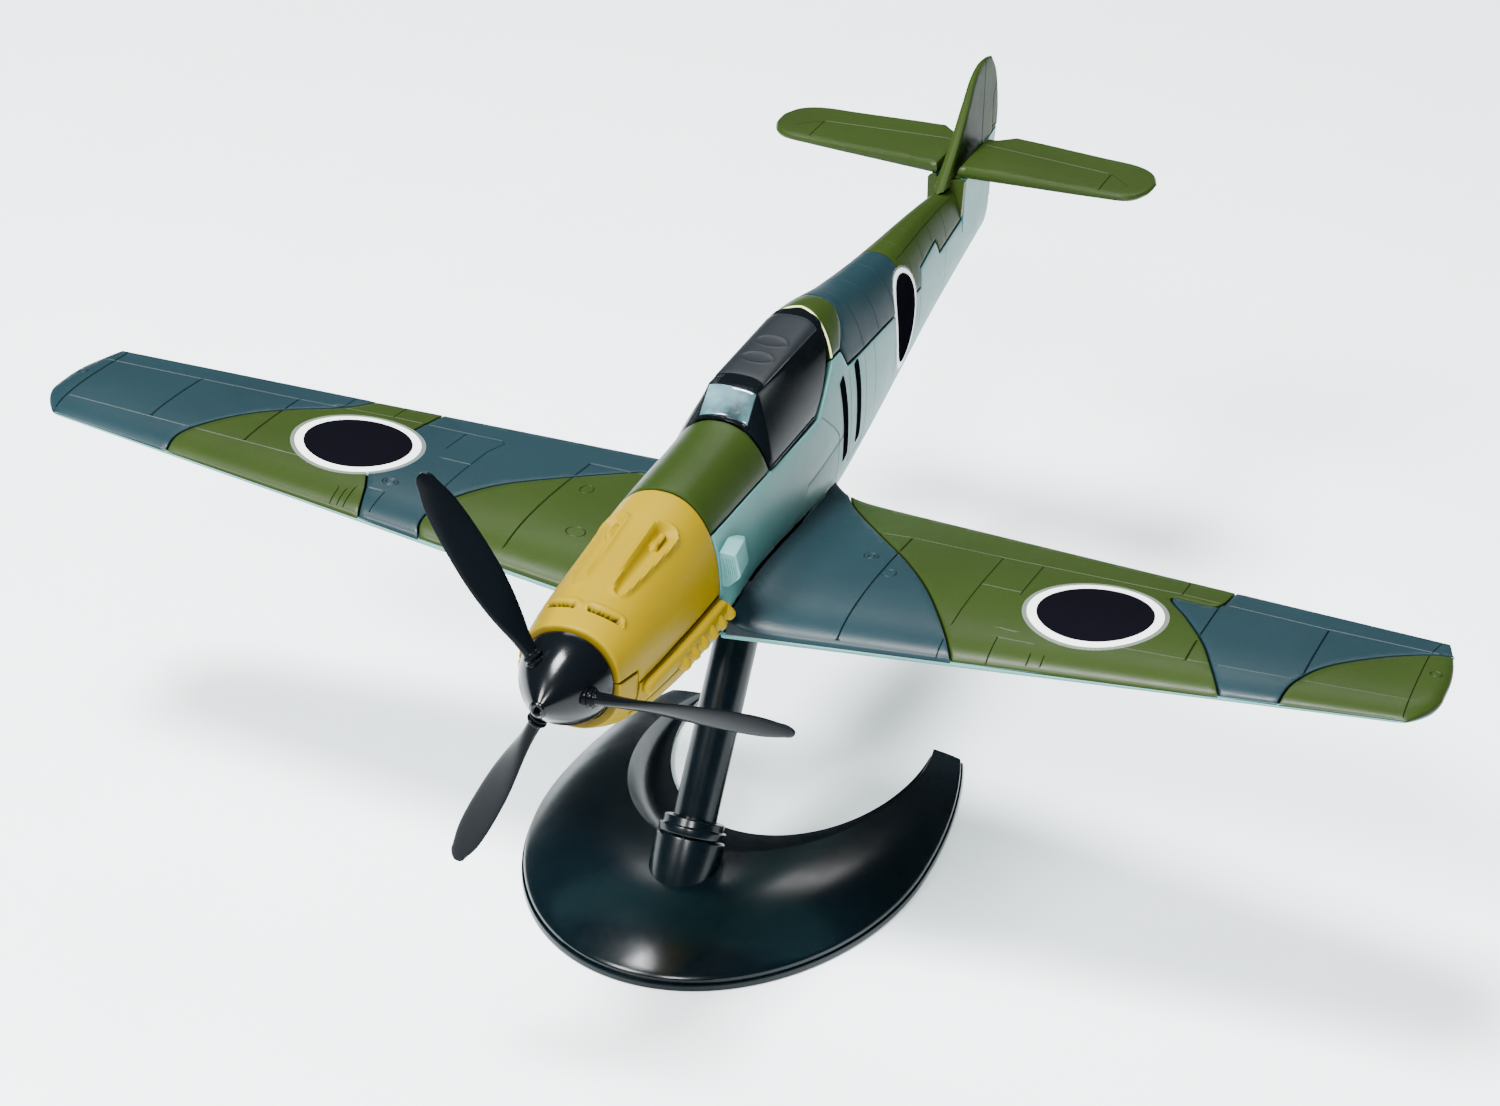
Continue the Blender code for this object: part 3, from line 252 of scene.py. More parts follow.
def moulded(name, colour, rough, spread, grain, shine=0.5, alpha=1.0, coat=0.0, mottle_scale=38.0):
    """Moulded plastic: a faint mottled tone, uneven gloss, a fine skin, and painted shade in engraved lines
    and joints.
    """
    material = bpy.data.materials.new(name)
    material.use_nodes = True
    tree = material.node_tree
    shader = tree.nodes["Principled BSDF"]
    shader.inputs["IOR"].default_value = PLASTIC_IOR
    shader.inputs["Specular IOR Level"].default_value = shine
    shader.inputs["Coat Weight"].default_value = coat
    shader.inputs["Coat Roughness"].default_value = 0.08
    shader.inputs["Alpha"].default_value = alpha
    coordinates = tree.nodes.new("ShaderNodeTexCoord")
    tone = ramp(tree, [c * (1 - spread) for c in colour], [min(1, c * (1 + spread)) for c in colour])
    link(tree, noise(tree, coordinates, mottle_scale, 4.0), "Fac", tone, "Fac")
    # The groove attribute mixes a painted shade into the colour: a darker tone of the plastic in engraved
    # lines, slots, panel edges and inner faces.
    groove = tree.nodes.new("ShaderNodeAttribute")
    groove.attribute_name = "groove"
    dark = tree.nodes.new("ShaderNodeMix")
    dark.data_type = "RGBA"
    dark.inputs[7].default_value = (*[c * GROOVE_SHADE_TONE for c in colour], 1)
    link(tree, groove, "Fac", dark, 0)
    link(tree, tone, "Color", dark, 6)
    link(tree, dark, 2, shader, "Base Color")
    gloss = tree.nodes.new("ShaderNodeMapRange")
    gloss.inputs["To Min"].default_value = rough - 0.05
    gloss.inputs["To Max"].default_value = rough + 0.07
    link(tree, noise(tree, coordinates, GLOSS_SCALE, 2.0), "Fac", gloss, "Value")
    link(tree, gloss, "Result", shader, "Roughness")
    bump = tree.nodes.new("ShaderNodeBump")
    bump.inputs["Strength"].default_value = grain
    bump.inputs["Distance"].default_value = GRAIN_DEPTH
    link(tree, noise(tree, coordinates, GRAIN_SCALE, 2.0), "Fac", bump, "Height")
    link(tree, bump, "Normal", shader, "Normal")
    return material


def make_materials():
    made = {look: moulded(name, *values) for look, (name, _, *values) in LOOKS.items()}
    lit = made["floor"].node_tree.nodes["Principled BSDF"]
    lit.inputs["Emission Color"].default_value = (*FLOOR, 1)
    lit.inputs["Emission Strength"].default_value = FLOOR_GLOW
    return made


MATERIALS = make_materials()


# ---------------------------------------------------------------- meshes


def mesh_piece(name, points, faces, look, body="airframe", groove=None, sharp=32.0):
    """One visible piece, in metres, with its material and body. It stands for the CAD node of its name."""
    mesh = bpy.data.meshes.new(name)
    mesh.from_pydata([tuple(p) for p in points], [], faces)
    mesh.validate()
    mesh.update()
    mesh.shade_smooth()
    mesh.set_sharp_from_angle(angle=math.radians(sharp))
    # The groove attribute holds each point's share of painted shade, which the material mixes into its
    # colour.
    marks = mesh.attributes.new("groove", "FLOAT", "POINT")
    if groove is not None:
        marks.data.foreach_set("value", np.asarray(groove, np.float32))
    mesh.materials.append(MATERIALS[look])
    piece = bpy.data.objects.new(name, mesh)
    bpy.context.scene.collection.objects.link(piece)
    replaced = (name,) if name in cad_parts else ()
    if body:
        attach(piece, body)
    if replaced:
        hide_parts(*replaced)
    return piece


def solid(name, shape, look, body="airframe", sharp=32.0):
    """A visible piece from the points and faces of a closed shape."""
    points, faces = shape
    return mesh_piece(name, points, outward(points, faces), look, body, sharp=sharp)


def around(count):
    """Angles at equal steps round a circle."""
    return [2 * math.pi * k / count for k in range(count)]


def rings_mesh(rings, loop=False):
    """Points and faces through closed rings of points; the ends are capped, or joined in a loop."""
    count = len(rings[0])
    points = np.concatenate([np.asarray(ring, float) for ring in rings])
    faces = []
    for r in range(len(rings) if loop else len(rings) - 1):
        a, b = r * count, ((r + 1) % len(rings)) * count
        for i in range(count):
            j = (i + 1) % count
            faces.append((a + i, a + j, b + j, b + i))
    if not loop:
        faces.append(tuple(range(count))[::-1])
        faces.append(tuple(range((len(rings) - 1) * count, len(rings) * count)))
    return points, faces


def outward(points, faces):
    """The same faces, turned so that the closed shape's volume is positive."""
    corners = np.array([(f[0], a, b) for f in faces for a, b in zip(f[1:], f[2:])])
    a, b, c = (np.asarray(points)[corners[:, k]] for k in range(3))
    total = np.einsum("ij,ij->", a, np.cross(b, c))
    return faces if total > 0 else [face[::-1] for face in faces]


def joined(parts):
    """Several closed shapes as one."""
    points, faces, start = [], [], 0
    for more, more_faces in parts:
        points.append(more)
        faces += [tuple(start + i for i in face) for face in outward(more, more_faces)]
        start += len(more)
    return np.concatenate(points), faces


def turned(start, direction, profile, sides):
    """A solid of revolution about a line; profile is an outline of (along, radius) points."""
    d = Vector(direction).normalized()
    u = d.orthogonal().normalized()
    u, v, d = np.array(u), np.array(d.cross(u)), np.array(d)
    start = np.array(start, float)
    rings = []
    for turn in around(sides):
        out = u * math.cos(turn) + v * math.sin(turn)
        rings.append([at(*(start + d * s + out * r)) for s, r in profile])
    return rings_mesh(rings, loop=True)


def rounded(profile, radius, steps=4):
    """An outline whose corners are rounded by arcs of about this radius."""
    corners = [np.array(p, float) for p in profile]
    found = []
    for i, here in enumerate(corners):
        to_last = corners[i - 1] - here
        to_next = corners[(i + 1) % len(corners)] - here
        r = min(radius, 0.45 * np.linalg.norm(to_last), 0.45 * np.linalg.norm(to_next))
        a = here + to_last / np.linalg.norm(to_last) * r
        b = here + to_next / np.linalg.norm(to_next) * r
        for k in range(steps + 1):
            t = k / steps
            found.append(tuple(a * (1 - t) ** 2 + here * 2 * t * (1 - t) + b * t * t))
    return found


# ---------------------------------------------------------------- plane curves and triangulated panels


def spline(points, count):
    """Points on a smooth curve through the given ones."""
    found = []
    spans = len(points) - 1
    for n in range(count + 1):
        u = n * spans / count
        i = min(int(u), spans - 1)
        t = u - i
        a, b, c, d = (np.array(points[max(0, min(spans, i + k))], float) for k in (-1, 0, 1, 2))
        square = 2 * a - 5 * b + 4 * c - d
        cube = 3 * b - a - 3 * c + d
        found.append(tuple(0.5 * (2 * b + (c - a) * t + square * t * t + cube * t**3)))
    return found


def finer(points, step):
    """A polyline with extra points, so that no two are further apart than step."""
    found = [tuple(points[0])]
    for a, b in zip(points, points[1:]):
        count = max(1, math.ceil(math.dist(a, b) / step))
        for k in range(1, count + 1):
            found.append(tuple(p + (q - p) * k / count for p, q in zip(a, b)))
    return found


def shifted(points, by):
    """A plane polyline moved sideways, to the right of its direction when positive."""
    found = []
    for i, (x, y) in enumerate(points):
        ax, ay = points[max(0, i - 1)]
        bx, by_ = points[min(len(points) - 1, i + 1)]
        size = math.hypot(bx - ax, by_ - ay) or 1.0
        found.append((x + (by_ - ay) / size * by, y - (bx - ax) / size * by))
    return found


def area(loop):
    p = np.array(loop)
    q = np.roll(p, -1, axis=0)
    return 0.5 * float((p[:, 0] * q[:, 1] - q[:, 0] * p[:, 1]).sum())


def clean_loop(points, spacing):
    """A closed outline made finer, without repeated points, and turned anticlockwise."""
    found = []
    for p in finer(list(points) + [points[0]], spacing)[:-1]:
        if not found or math.dist(found[-1], p) > 0.02:
            found.append(tuple(p))
    while math.dist(found[0], found[-1]) < 0.02:
        found.pop()
    return found if area(found) > 0 else found[::-1]


def distance_to(uv, line, closed=False):
    """Each point's distance to a polyline."""
    p = np.array(line, float)
    a, b = (p, np.roll(p, -1, axis=0)) if closed else (p[:-1], p[1:])
    best = np.full(len(uv), 1e9)
    for k in range(0, len(a), 64):
        start, end = a[k : k + 64], b[k : k + 64]
        d = end - start
        size = (d * d).sum(1) + 1e-12
        t = np.clip(((uv[:, None] - start[None]) * d[None]).sum(2) / size, 0, 1)
        near = start[None] + t[..., None] * d[None]
        best = np.minimum(best, np.sqrt(((uv[:, None] - near) ** 2).sum(2)).min(1))
    return best


def inside(uv, loop):
    """Which points lie inside a closed outline."""
    p = np.array(loop, float)
    q = np.roll(p, -1, axis=0)
    found = np.zeros(len(uv), bool)
    for a, b in zip(p, q):
        crosses = (a[1] > uv[:, 1]) != (b[1] > uv[:, 1])
        if not crosses.any():
            continue
        x = a[0] + (uv[:, 1] - a[1]) * (b[0] - a[0]) / (b[1] - a[1] + 1e-15)
        found ^= crosses & (uv[:, 0] < x)
    return found


def lattice(outline, spacing, margin):
    """Staggered points inside an outline."""
    p = np.array(outline)
    low, high = p.min(0), p.max(0)
    rows = np.arange(low[1] + spacing / 2, high[1], spacing * 0.866)
    found = []
    for n, y in enumerate(rows):
        x = np.arange(low[0] + spacing * (0.25 + 0.5 * (n % 2)), high[0], spacing)
        found.append(np.stack([x, np.full(len(x), y)], 1))
    found = np.concatenate(found)
    found = found[inside(found, outline)]
    return found[distance_to(found, outline, True) > margin]


def triangles(outline, lines, points):
    """Triangles in the outline with the given lines kept as edges: (uv array, faces)."""
    verts = [Vector(p) for p in outline]
    rim = list(range(len(verts)))
    edges = []
    for line in lines:
        start = len(verts)
        verts += [Vector(p) for p in line]
        edges += [(start + i, start + i + 1) for i in range(len(line) - 1)]
    verts += [Vector(p) for p in points]
    found, _, faces, _, _, _ = delaunay_2d_cdt(verts, edges, [rim], 1, 1e-4)
    return np.array([tuple(v) for v in found], float), [tuple(f) for f in faces]


def shell(faces, outer, inner):
    """A closed solid between two surfaces over the same triangles or quads."""
    count = len(outer)
    seen = dict.fromkeys((a, b) for face in faces for a, b in zip(face, face[1:] + face[:1]))
    made = list(faces) + [tuple(count + i for i in face[::-1]) for face in faces]
    made += [(b, a, count + a, count + b) for a, b in seen if (b, a) not in seen]
    points = np.concatenate([outer, inner])
    return points, outward(points, made)


def sheet(name, outer, inner, look, sharp=32.0):
    """A thin piece between two grids of points."""
    rows, columns = len(outer), len(outer[0])
    corners = [i * columns + j for i in range(rows - 1) for j in range(columns - 1)]
    faces = [(a, a + 1, a + columns + 1, a + columns) for a in corners]
    points, faces = shell(faces, np.concatenate(outer), np.concatenate(inner))
    mesh_piece(name, points, faces, look, sharp=sharp)


def runs_inside(line, outline):
    """The runs of a polyline that lie inside an outline."""
    runs = [[]]
    for p, good in zip(line, inside(np.array(line), outline)):
        if good:
            runs[-1].append(p)
        else:
            runs.append([])
    return [run for run in runs if len(run) > 1]


def layout(outline, grooves, guides, spacing, edge):
    """Triangles for a panel: uv, faces, and each point's distance to the rim, engraved depth and painted
    groove shade.
    """
    outline = clean_loop(outline, spacing)
    kept = list(guides)
    for line, half, _ in grooves:
        line = finer(line, spacing)
        kept += [line, shifted(line, half), shifted(line, -half)]
    points = lattice(outline, spacing, edge + 0.3 * spacing)
    for line in kept:
        points = points[distance_to(points, line) > 0.35 * spacing]
    rims = []
    for inset in (0.35 * edge, edge):
        loop = shifted([outline[-1]] + outline + [outline[0]], -inset)[1:-1]
        rims.append(loop + [loop[0]])
    clipped = [run for line in rims + kept for run in runs_inside(line, outline)]
    uv, faces = triangles(outline, clipped, points)
    depth, dark = np.zeros(len(uv)), np.zeros(len(uv))
    for line, half, deep in grooves:
        v = np.clip(1 - distance_to(uv, finer(line, spacing)) / half, 0, 1)
        depth = np.maximum(depth, deep * v)
        # Painted shade along each engraved line, strongest at its middle.
        dark = np.maximum(dark, GROOVE_SHADE * v)
    return uv, faces, distance_to(uv, outline, True), depth, dark


def panel(name, outline, surface, look, grooves, guides, spacing, shapes=(), edge=0.3):
    """A moulded panel with rounded edges and engraved lines.

    outline is a closed loop in the surface's own plane coordinates. surface(uv, sink) gives the outer points,
    sunk by that depth, and surface(uv, None) the inner ones. grooves are (line, half width, depth). The
    triangles follow the guides. shapes are functions of uv that give a further depth, and how much painted
    shade it takes. The outer edge and the inner face take painted shade as well.
    """
    uv, faces, rim, sink, groove = layout(outline, grooves, guides, spacing, edge)
    near = np.clip(1 - rim / edge, 0, 1)
    sink = np.maximum(sink, edge * (1 - np.sqrt(1 - near**2)))
    # Painted shade along the panel's outer edge, where it meets the next panel.
    groove = np.maximum(groove, np.where(rim < 1e-3, 0.6, 0.0))
    for shape in shapes:
        more, dark = shape(uv)
        sink = sink + more
        groove = np.maximum(groove, dark)
    points, faces = shell(faces, surface(uv, sink), surface(uv, None))
    # The inner face takes painted shade too.
    mesh_piece(name, points, faces, look, groove=np.concatenate([groove, np.full(len(uv), 0.7)]))


def plate(name, outline, place, half_thick, look, grooves, spacing=1.2, edge=0.9):
    """A thin two-sided piece with rounded edges: place(uv, offset) puts points beside its middle surface."""
    uv, faces, rim, sink, groove = layout(outline, grooves, (), spacing, edge)
    near = np.clip(1 - rim / edge, 0, 1)
    swell = half_thick(uv) * (0.12 + 0.88 * np.sqrt(1 - near**2)) - sink
    points, faces = shell(faces, place(uv, swell), place(uv, -swell))
    # Both faces take the painted shade of their engraved lines.
    mesh_piece(name, points, faces, look, groove=np.concatenate([groove, groove]))


# ---------------------------------------------------------------- fuselage surface


def station(y):
    """Top, bottom, half width and widest height at a distance aft, eased between the stations."""
    i = max(k for k in range(len(STATIONS) - 1) if STATIONS[k][0] <= y or k == 0)
    a, b = STATIONS[i], STATIONS[i + 1]
    before, after = STATIONS[max(0, i - 1)], STATIONS[min(len(STATIONS) - 1, i + 2)]
    span = b[0] - a[0]
    t = (y - a[0]) / span
    values = []
    for k in range(1, 5):
        left = (b[k] - before[k]) / (b[0] - before[0]) * span
        right = (after[k] - a[k]) / (after[0] - a[0]) * span
        h00, h10 = 2 * t**3 - 3 * t * t + 1, t**3 - 2 * t * t + t
        h01, h11 = 3 * t * t - 2 * t**3, t**3 - t * t
        values.append(h00 * a[k] + h10 * left + h01 * b[k] + h11 * right)
    return values


STATION_Y = np.arange(11.0, 224.0, 0.25)
STATION_VALUES = np.array([station(y) for y in STATION_Y])


def sections(y):
    return [np.interp(y, STATION_Y, STATION_VALUES[:, k]) for k in range(4)]


def body_xyz(y, degrees, depth=0.0):
    """Points on the fuselage: 0 degrees is the top, 90 the port side and 180 the bottom."""
    top, bottom, wide, middle = sections(y)
    a = np.radians(degrees)
    s, c = np.sin(a), np.cos(a)
    half = np.where(c > 0, top - middle, middle - bottom) - depth
    x = np.sign(s) * np.abs(s) ** (2 / ROUNDNESS) * (wide - depth)
    z = middle + np.sign(c) * np.abs(c) ** (2 / ROUNDNESS) * half
    return x, y, z


def height_share(y, z):
    """How far a height is from the section's widest height (0) to its top or bottom (1), and that width."""
    top, bottom, wide, middle = (float(v) for v in sections(y))
    half = top - middle if z > middle else middle - bottom
    return min(1.0, abs(z - middle) / half), wide, z > middle


def half_width(y, z):
    share, wide, _ = height_share(y, z)
    return wide * (1 - share**ROUNDNESS) ** (1 / ROUNDNESS)


def angle_at(y, z):
    """The angle from the top, in degrees, at which the fuselage's skin is at this height."""
    share, _, upper = height_share(y, z)
    turn = math.degrees(math.acos(share ** (ROUNDNESS / 2)))
    return turn if upper else 180 - turn


def angle_of_x(y, x):
    """The angle on the upper half at which the skin is this far from the middle plane."""
    wide = float(sections(y)[2])
    return math.degrees(math.asin(math.copysign(min(1.0, abs(x) / wide) ** (ROUNDNESS / 2), x)))


def body_surface(lift=0.0):
    def surface(uv, sink):
        depth = WALL if sink is None else sink - lift
        return at(*body_xyz(uv[:, 0], uv[:, 1] / TURN, depth))

    return surface


def by_height(points, sign=1):
    """(distance aft, height) points as plane coordinates on the fuselage's side."""
    return [(y, sign * angle_at(y, z) * TURN) for y, z in finer(points, 1.0)]


def by_angle(points):
    """(distance aft, angle) points as plane coordinates on the fuselage's port side."""
    return [(y, a * TURN) for y, a in finer(points, 1.0)]


def by_width(points, sign=1, step=0.5):
    """(x, distance aft) points on the upper skin as plane coordinates."""
    return [(y, sign * angle_of_x(y, x) * TURN) for x, y in finer(points, step)]


# ---------------------------------------------------------------- wing surface


def tapered(root, tip, x):
    """A measure that changes evenly from the wing's root to its tip."""
    return root + (tip - root) * (np.abs(x) - ROOT_X) / (TIP_X - ROOT_X)


def leading(x):
    return tapered(*LEADING, x)


def trailing(x):
    return tapered(*TRAILING, x)


def chord_point(x, c):
    return x, float(leading(x) + c * (trailing(x) - leading(x)))


def tip_edge(c):
    """How far out the rounded tip reaches at a fraction of the chord."""
    front = np.maximum(0.0, 1 - c / 0.3) ** 2
    rear = np.maximum(0.0, (c - 0.45) / 0.55) ** 2
    return HALF_SPAN - 4.3 * front - 3.0 * rear


def wing_middle(x):
    return WING_Z + (np.abs(x) - ROOT_X) * DIHEDRAL


def wing_height(x, y, side):
    """The height of the wing's upper (side 1) or lower (side -1) surface over points in plan."""
    c = np.clip((y - leading(x)) / (trailing(x) - leading(x)), 0.0, 1.0)
    thick = tapered(ROOT_THICK, TIP_THICK, x)
    form = 2.969 * np.sqrt(c) - 1.26 * c - 3.516 * c * c + 2.843 * c**3 - 0.9 * c**4
    edge = np.clip((tip_edge(c) - np.abs(x)) / 3.0, 0.0, 1.0)
    rounding = np.sqrt(1 - (1 - edge) ** 2 * 0.75)
    if side > 0:
        fillet = 4.4 * np.exp(-(np.abs(x) - 9.5) / 2.3)
        return wing_middle(x) + UPPER_SHARE * thick * form * rounding + fillet
    return wing_middle(x) - (1 - UPPER_SHARE) * thick * form * rounding


def wing_surface(lift=0.0):
    def surface(uv, sink):
        x, y = uv[:, 0], uv[:, 1]
        high = np.maximum(wing_height(x, y, 1), wing_middle(x) + 0.42)
        if sink is None:
            return at(x, y, np.minimum(wing_middle(x) + JOINT, high - 0.25))
        return at(x, y, np.maximum(high - sink + lift, wing_middle(x) + 0.2))

    return surface


def root_x(c, side=1):
    """How far out the wing's upper or lower surface meets the fuselage's side."""
    y = LEADING[0] + c * (TRAILING[0] - LEADING[0])
    z = WING_Z if side < 0 else float(wing_height(ROOT_X + 0.4, y, 1))
    return half_width(y, z) + 0.3


# ---------------------------------------------------------------- wings

NOSE_C = 0.002
SPAN_ROWS = 40
PORT_INNER = (
    (51.0, NOSE_C), (45.7, 0.2), (39.8, 0.4), (33.0, 0.58),
    (25.8, 0.73), (16.7, 0.914), (13.4, 1.0),
)
PORT_MIDDLE = (
    (97.0, NOSE_C), (94.0, 0.17), (90.3, 0.38), (85.3, 0.59),
    (80.6, 0.775), (88.6, 0.79), (90.2, 1.0),
)
PORT_OUTER = (
    (106.9, NOSE_C), (107.8, 0.14), (110.3, 0.30), (113.8, 0.44),
    (120.2, 0.63), (126.0, 0.77), (131.0, 0.86),
)
STARBOARD_OUTER = (
    (103.2, NOSE_C), (103.1, 0.12), (101.3, 0.25), (96.4, 0.49),
    (90.3, 0.68), (83.0, 0.84), (79.0, 1.0),
)
STARBOARD_MIDDLE = (
    (62.4, NOSE_C), (64.2, 0.15), (66.3, 0.27), (68.0, 0.4),
    (68.5, 0.52), (67.5, 0.7), (66.0, 1.0),
)
STARBOARD_INNER = (
    (49.9, NOSE_C), (50.9, 0.06), (50.2, 0.16), (47.5, 0.30),
    (42.8, 0.46), (35.6, 0.62), (24.3, 0.84),
)
NOSE_GUIDES = (0.006, 0.014, 0.028, 0.05, 0.08, 0.12)
# Half width and depth of the engraved lines.
THICK_LINE = (0.2, 0.26)
MIDDLE_LINE = (0.17, 0.22)
THIN_LINE = (0.13, 0.16)


def plan_curve(points, sign, inset):
    line = spline([chord_point(x, c) for x, c in points], SPAN_ROWS)
    return [(sign * x, y) for x, y in shifted(line, -inset)]


def end_line(reach, sign, first=NOSE_C, last=1.0):
    """The root or tip end of a panel: reach(c) is how far out it stands at a fraction of the chord."""
    line = []
    for n in range(SPAN_ROWS + 1):
        c = first + (last - first) * n / SPAN_ROWS
        x, y = chord_point(float(reach(c)), c)
        line.append((sign * x, y))
    return line


def span_line(c, sign, first=9.0, last=132.0):
    """A line along the span at a fraction of the chord."""
    return [(sign * x, chord_point(x, c)[1]) for x in np.linspace(first, last, 40)]


def chord_line(x, first, last, sign):
    """A line along the chord at one distance out."""
    return [(sign * x, chord_point(x, c)[1]) for c in np.linspace(first, last, 24)]


def ring_line(x, y, wide, tall):
    """A small engraved ring in plan."""
    ring = [(x + wide * math.cos(a), y + tall * math.sin(a)) for a in around(24)]
    return ring + ring[:1], *THIN_LINE


def upright(x, first, last, kind=THIN_LINE):
    """A line engraved along the chord at one distance out, between two distances aft."""
    return [(x, first), (x, last)], *kind


def thin(*points):
    return list(points), *THIN_LINE


def port_lines():
    flap = ((24.0, 95.7), (30.8, 96.0), (47.6, 94.4), (81.5, 92.2), (108.3, 88.3), (127.2, 86.4))
    lines = [upright(30.5, 57.5, 96.0, THICK_LINE), thin(*flap, (131.0, 86.0))]
    lines += [upright(48.3, 66.0, 94.3), upright(56.0, 80.0, 93.6), upright(48.3, 57.8, 61.2)]
    lines += [upright(57.0, 58.5, 64.4), upright(63.8, 58.5, 61.7), upright(66.2, 58.7, 61.9)]
    lines += [upright(89.2, 67.7, 89.9, THICK_LINE), upright(109.0, 67.9, 88.2, THICK_LINE)]
    lines += [thin((127.4, 62.5), (127.0, 85.0), (128.0, 91.0)), upright(81.8, 92.2, 97.5)]
    lines += [thin((76.6, 67.8), (128.0, 68.1)), thin((48.3, 81.4), (56.0, 80.8))]
    lines += [thin((56.7, 67.1), (59.6, 66.8)), thin((57.0, 64.4), (63.7, 64.3))]
    lines += [ring_line(26.6, 84.7, 1.3, 1.3), ring_line(31.9, 79.0, 1.4, 1.4)]
    return lines + [ring_line(26.6, 84.7, 0.6, 0.8), ring_line(129.6, 78.2, 1.0, 0.9)]


def starboard_lines():
    flap = ((-132.0, 85.4), (-127.4, 85.9), (-110.0, 88.2), (-90.7, 90.8), (-73.0, 94.0), (-56.3, 95.8))
    lines = [([(-34.0, 60.3), (-33.6, 96.9), (-22.0, 98.4)], *THICK_LINE), thin(*flap)]
    lines += [thin((-56.3, 95.8), (-51.6, 96.4), (-50.5, 95.4), (-51.5, 90.0), (-51.6, 72.0))]
    lines += [upright(-128.1, 63.0, 90.5, THICK_LINE), upright(-110.6, 69.4, 88.2, THICK_LINE)]
    lines += [upright(-91.2, 69.2, 90.8, THICK_LINE), upright(-82.8, 91.9, 98.0), upright(-73.0, 94.0, 99.5)]
    lines += [upright(-58.4, 86.7, 95.4), thin((-128.1, 68.4), (-75.0, 69.2))]
    lines += [thin((-57.1, 82.3), (-51.5, 82.8)), upright(-68.6, 58.4, 63.0)]
    lines += [upright(-65.9, 58.4, 64.0), upright(-67.2, 58.4, 63.2)]
    lines += [thin((-64.6, 65.4), (-60.4, 65.6), (-60.8, 58.6)), ring_line(-24.2, 69.2, 1.8, 1.6)]
    lines += [ring_line(-29.3, 85.5, 1.2, 1.8), ring_line(-61.0, 68.9, 1.5, 1.1)]
    return lines + [ring_line(-61.0, 68.9, 0.9, 0.55), ring_line(-130.6, 78.4, 1.0, 0.8)]


WING_LINES = {1: port_lines(), -1: starboard_lines()}


def nose_guides(sign, shares=NOSE_GUIDES):
    """Lines along the span, close together where the surface turns round the leading edge."""
    return [finer(span_line(c, sign), 1.2) for c in shares]


def upper_panel(name, left, right, sign):
    """One upper panel of a wing, between two lines that cross the span. Its name ends in its colour."""
    outline = left + right[::-1]
    xs = np.abs(np.array(outline)[:, 0])
    grooves = []
    for line, half, deep in WING_LINES[sign]:
        lx = np.abs(np.array(line)[:, 0])
        if lx.max() > xs.min() and lx.min() < xs.max():
            grooves.append((line, half, deep))
    panel(name, outline, wing_surface(), name.split("_")[-1], grooves, nose_guides(sign), 1.4)


def make_wings():
    def port(points, side):
        return plan_curve(points, 1, side * JOINT)

    def starboard(points, side):
        return plan_curve(points, -1, side * JOINT)

    upper_panel("wing_inner_left_blue", end_line(root_x, 1), port(PORT_INNER, 1), 1)
    upper_panel("wing_mid_left_green", port(PORT_INNER, -1), port(PORT_MIDDLE, 1), 1)
    outer = port(PORT_OUTER, 1) + end_line(tip_edge, 1, 0.885)
    upper_panel("wing_outer_left_blue", port(PORT_MIDDLE, -1), outer, 1)
    upper_panel("wing_tip_left_green", port(PORT_OUTER, -1), end_line(tip_edge, 1, last=0.835), 1)
    upper_panel("wing_tip_right_blue", starboard(STARBOARD_OUTER, -1), end_line(tip_edge, -1), -1)
    upper_panel("wing_outer_right_green", starboard(STARBOARD_MIDDLE, -1), starboard(STARBOARD_OUTER, 1), -1)
    root = end_line(root_x, -1, last=0.78)
    upper_panel("wing_inner_right_green", root, starboard(STARBOARD_INNER, 1), -1)
    inner = starboard(STARBOARD_INNER, -1)
    for c in (0.82, 1.0):
        x, y = chord_point(root_x(c), c)
        inner.append((-x, y))
    upper_panel("wing_mid_right_blue", inner, starboard(STARBOARD_MIDDLE, 1), -1)
    for sign, side in SIDES:
        lower_wing(f"wing_lower_{side}", sign)


def lower_wing(name, sign):
    """The pale underside, which comes up round the leading edge to just below the upper panels."""
    lip = 0.5

    def surface(uv, sink):
        x, v = uv[:, 0], uv[:, 1]
        front = leading(x)
        y = np.maximum(v, front)
        low = np.minimum(wing_height(x, y, -1), wing_middle(x) - 0.12 * np.clip(v - front, 0, 1) / 0.4)
        up = np.clip(front - v, 0, lip) * 0.4
        if sink is None:
            inner = np.where(v < front, wing_middle(x) + up, np.minimum(low + WALL, wing_middle(x) - 0.05))
            return at(x, y + np.where(v < front + 0.5, 0.7, 0.0), np.maximum(inner, low + 0.05))
        return at(x, y + 0.4 * up / lip, low + up + sink)

    root = end_line(lambda c: root_x(c, -1), sign, 0.0)
    tip = end_line(lambda c: tip_edge(c) - 0.4, sign, 0.0)
    for line in (root, tip):
        line[0] = (line[0][0], line[0][1] - lip)
    lines = [span_line(0.8, sign, 16.0, 126.0)] + [chord_line(x, 0.8, 1.0, sign) for x in (66.0, 124.0)]
    lines += [chord_line(x, 0.05, 0.8, sign) for x in (30.0, 62.0, 98.0)]
    grooves = [(line, *MIDDLE_LINE) for line in lines]
    guides = nose_guides(sign, (0.0, 0.003) + NOSE_GUIDES)
    panel(name, root + tip[::-1], surface, "pale", grooves, guides, 1.8, edge=0.2)


# ---------------------------------------------------------------- fuselage panels


def skin_panel(name, outline, look, grooves=(), spacing=1.0, shapes=(), edge=0.3):
    panel(name, outline, body_surface(), look, grooves, (), spacing, shapes, edge)


def pointed(j):
    """How much of its lean an end has at a share of the way from the middle (0) to either side (1 or -1)."""
    return (1 - abs(j)) ** 0.8


def full(j):
    return 1 - abs(j) ** 3


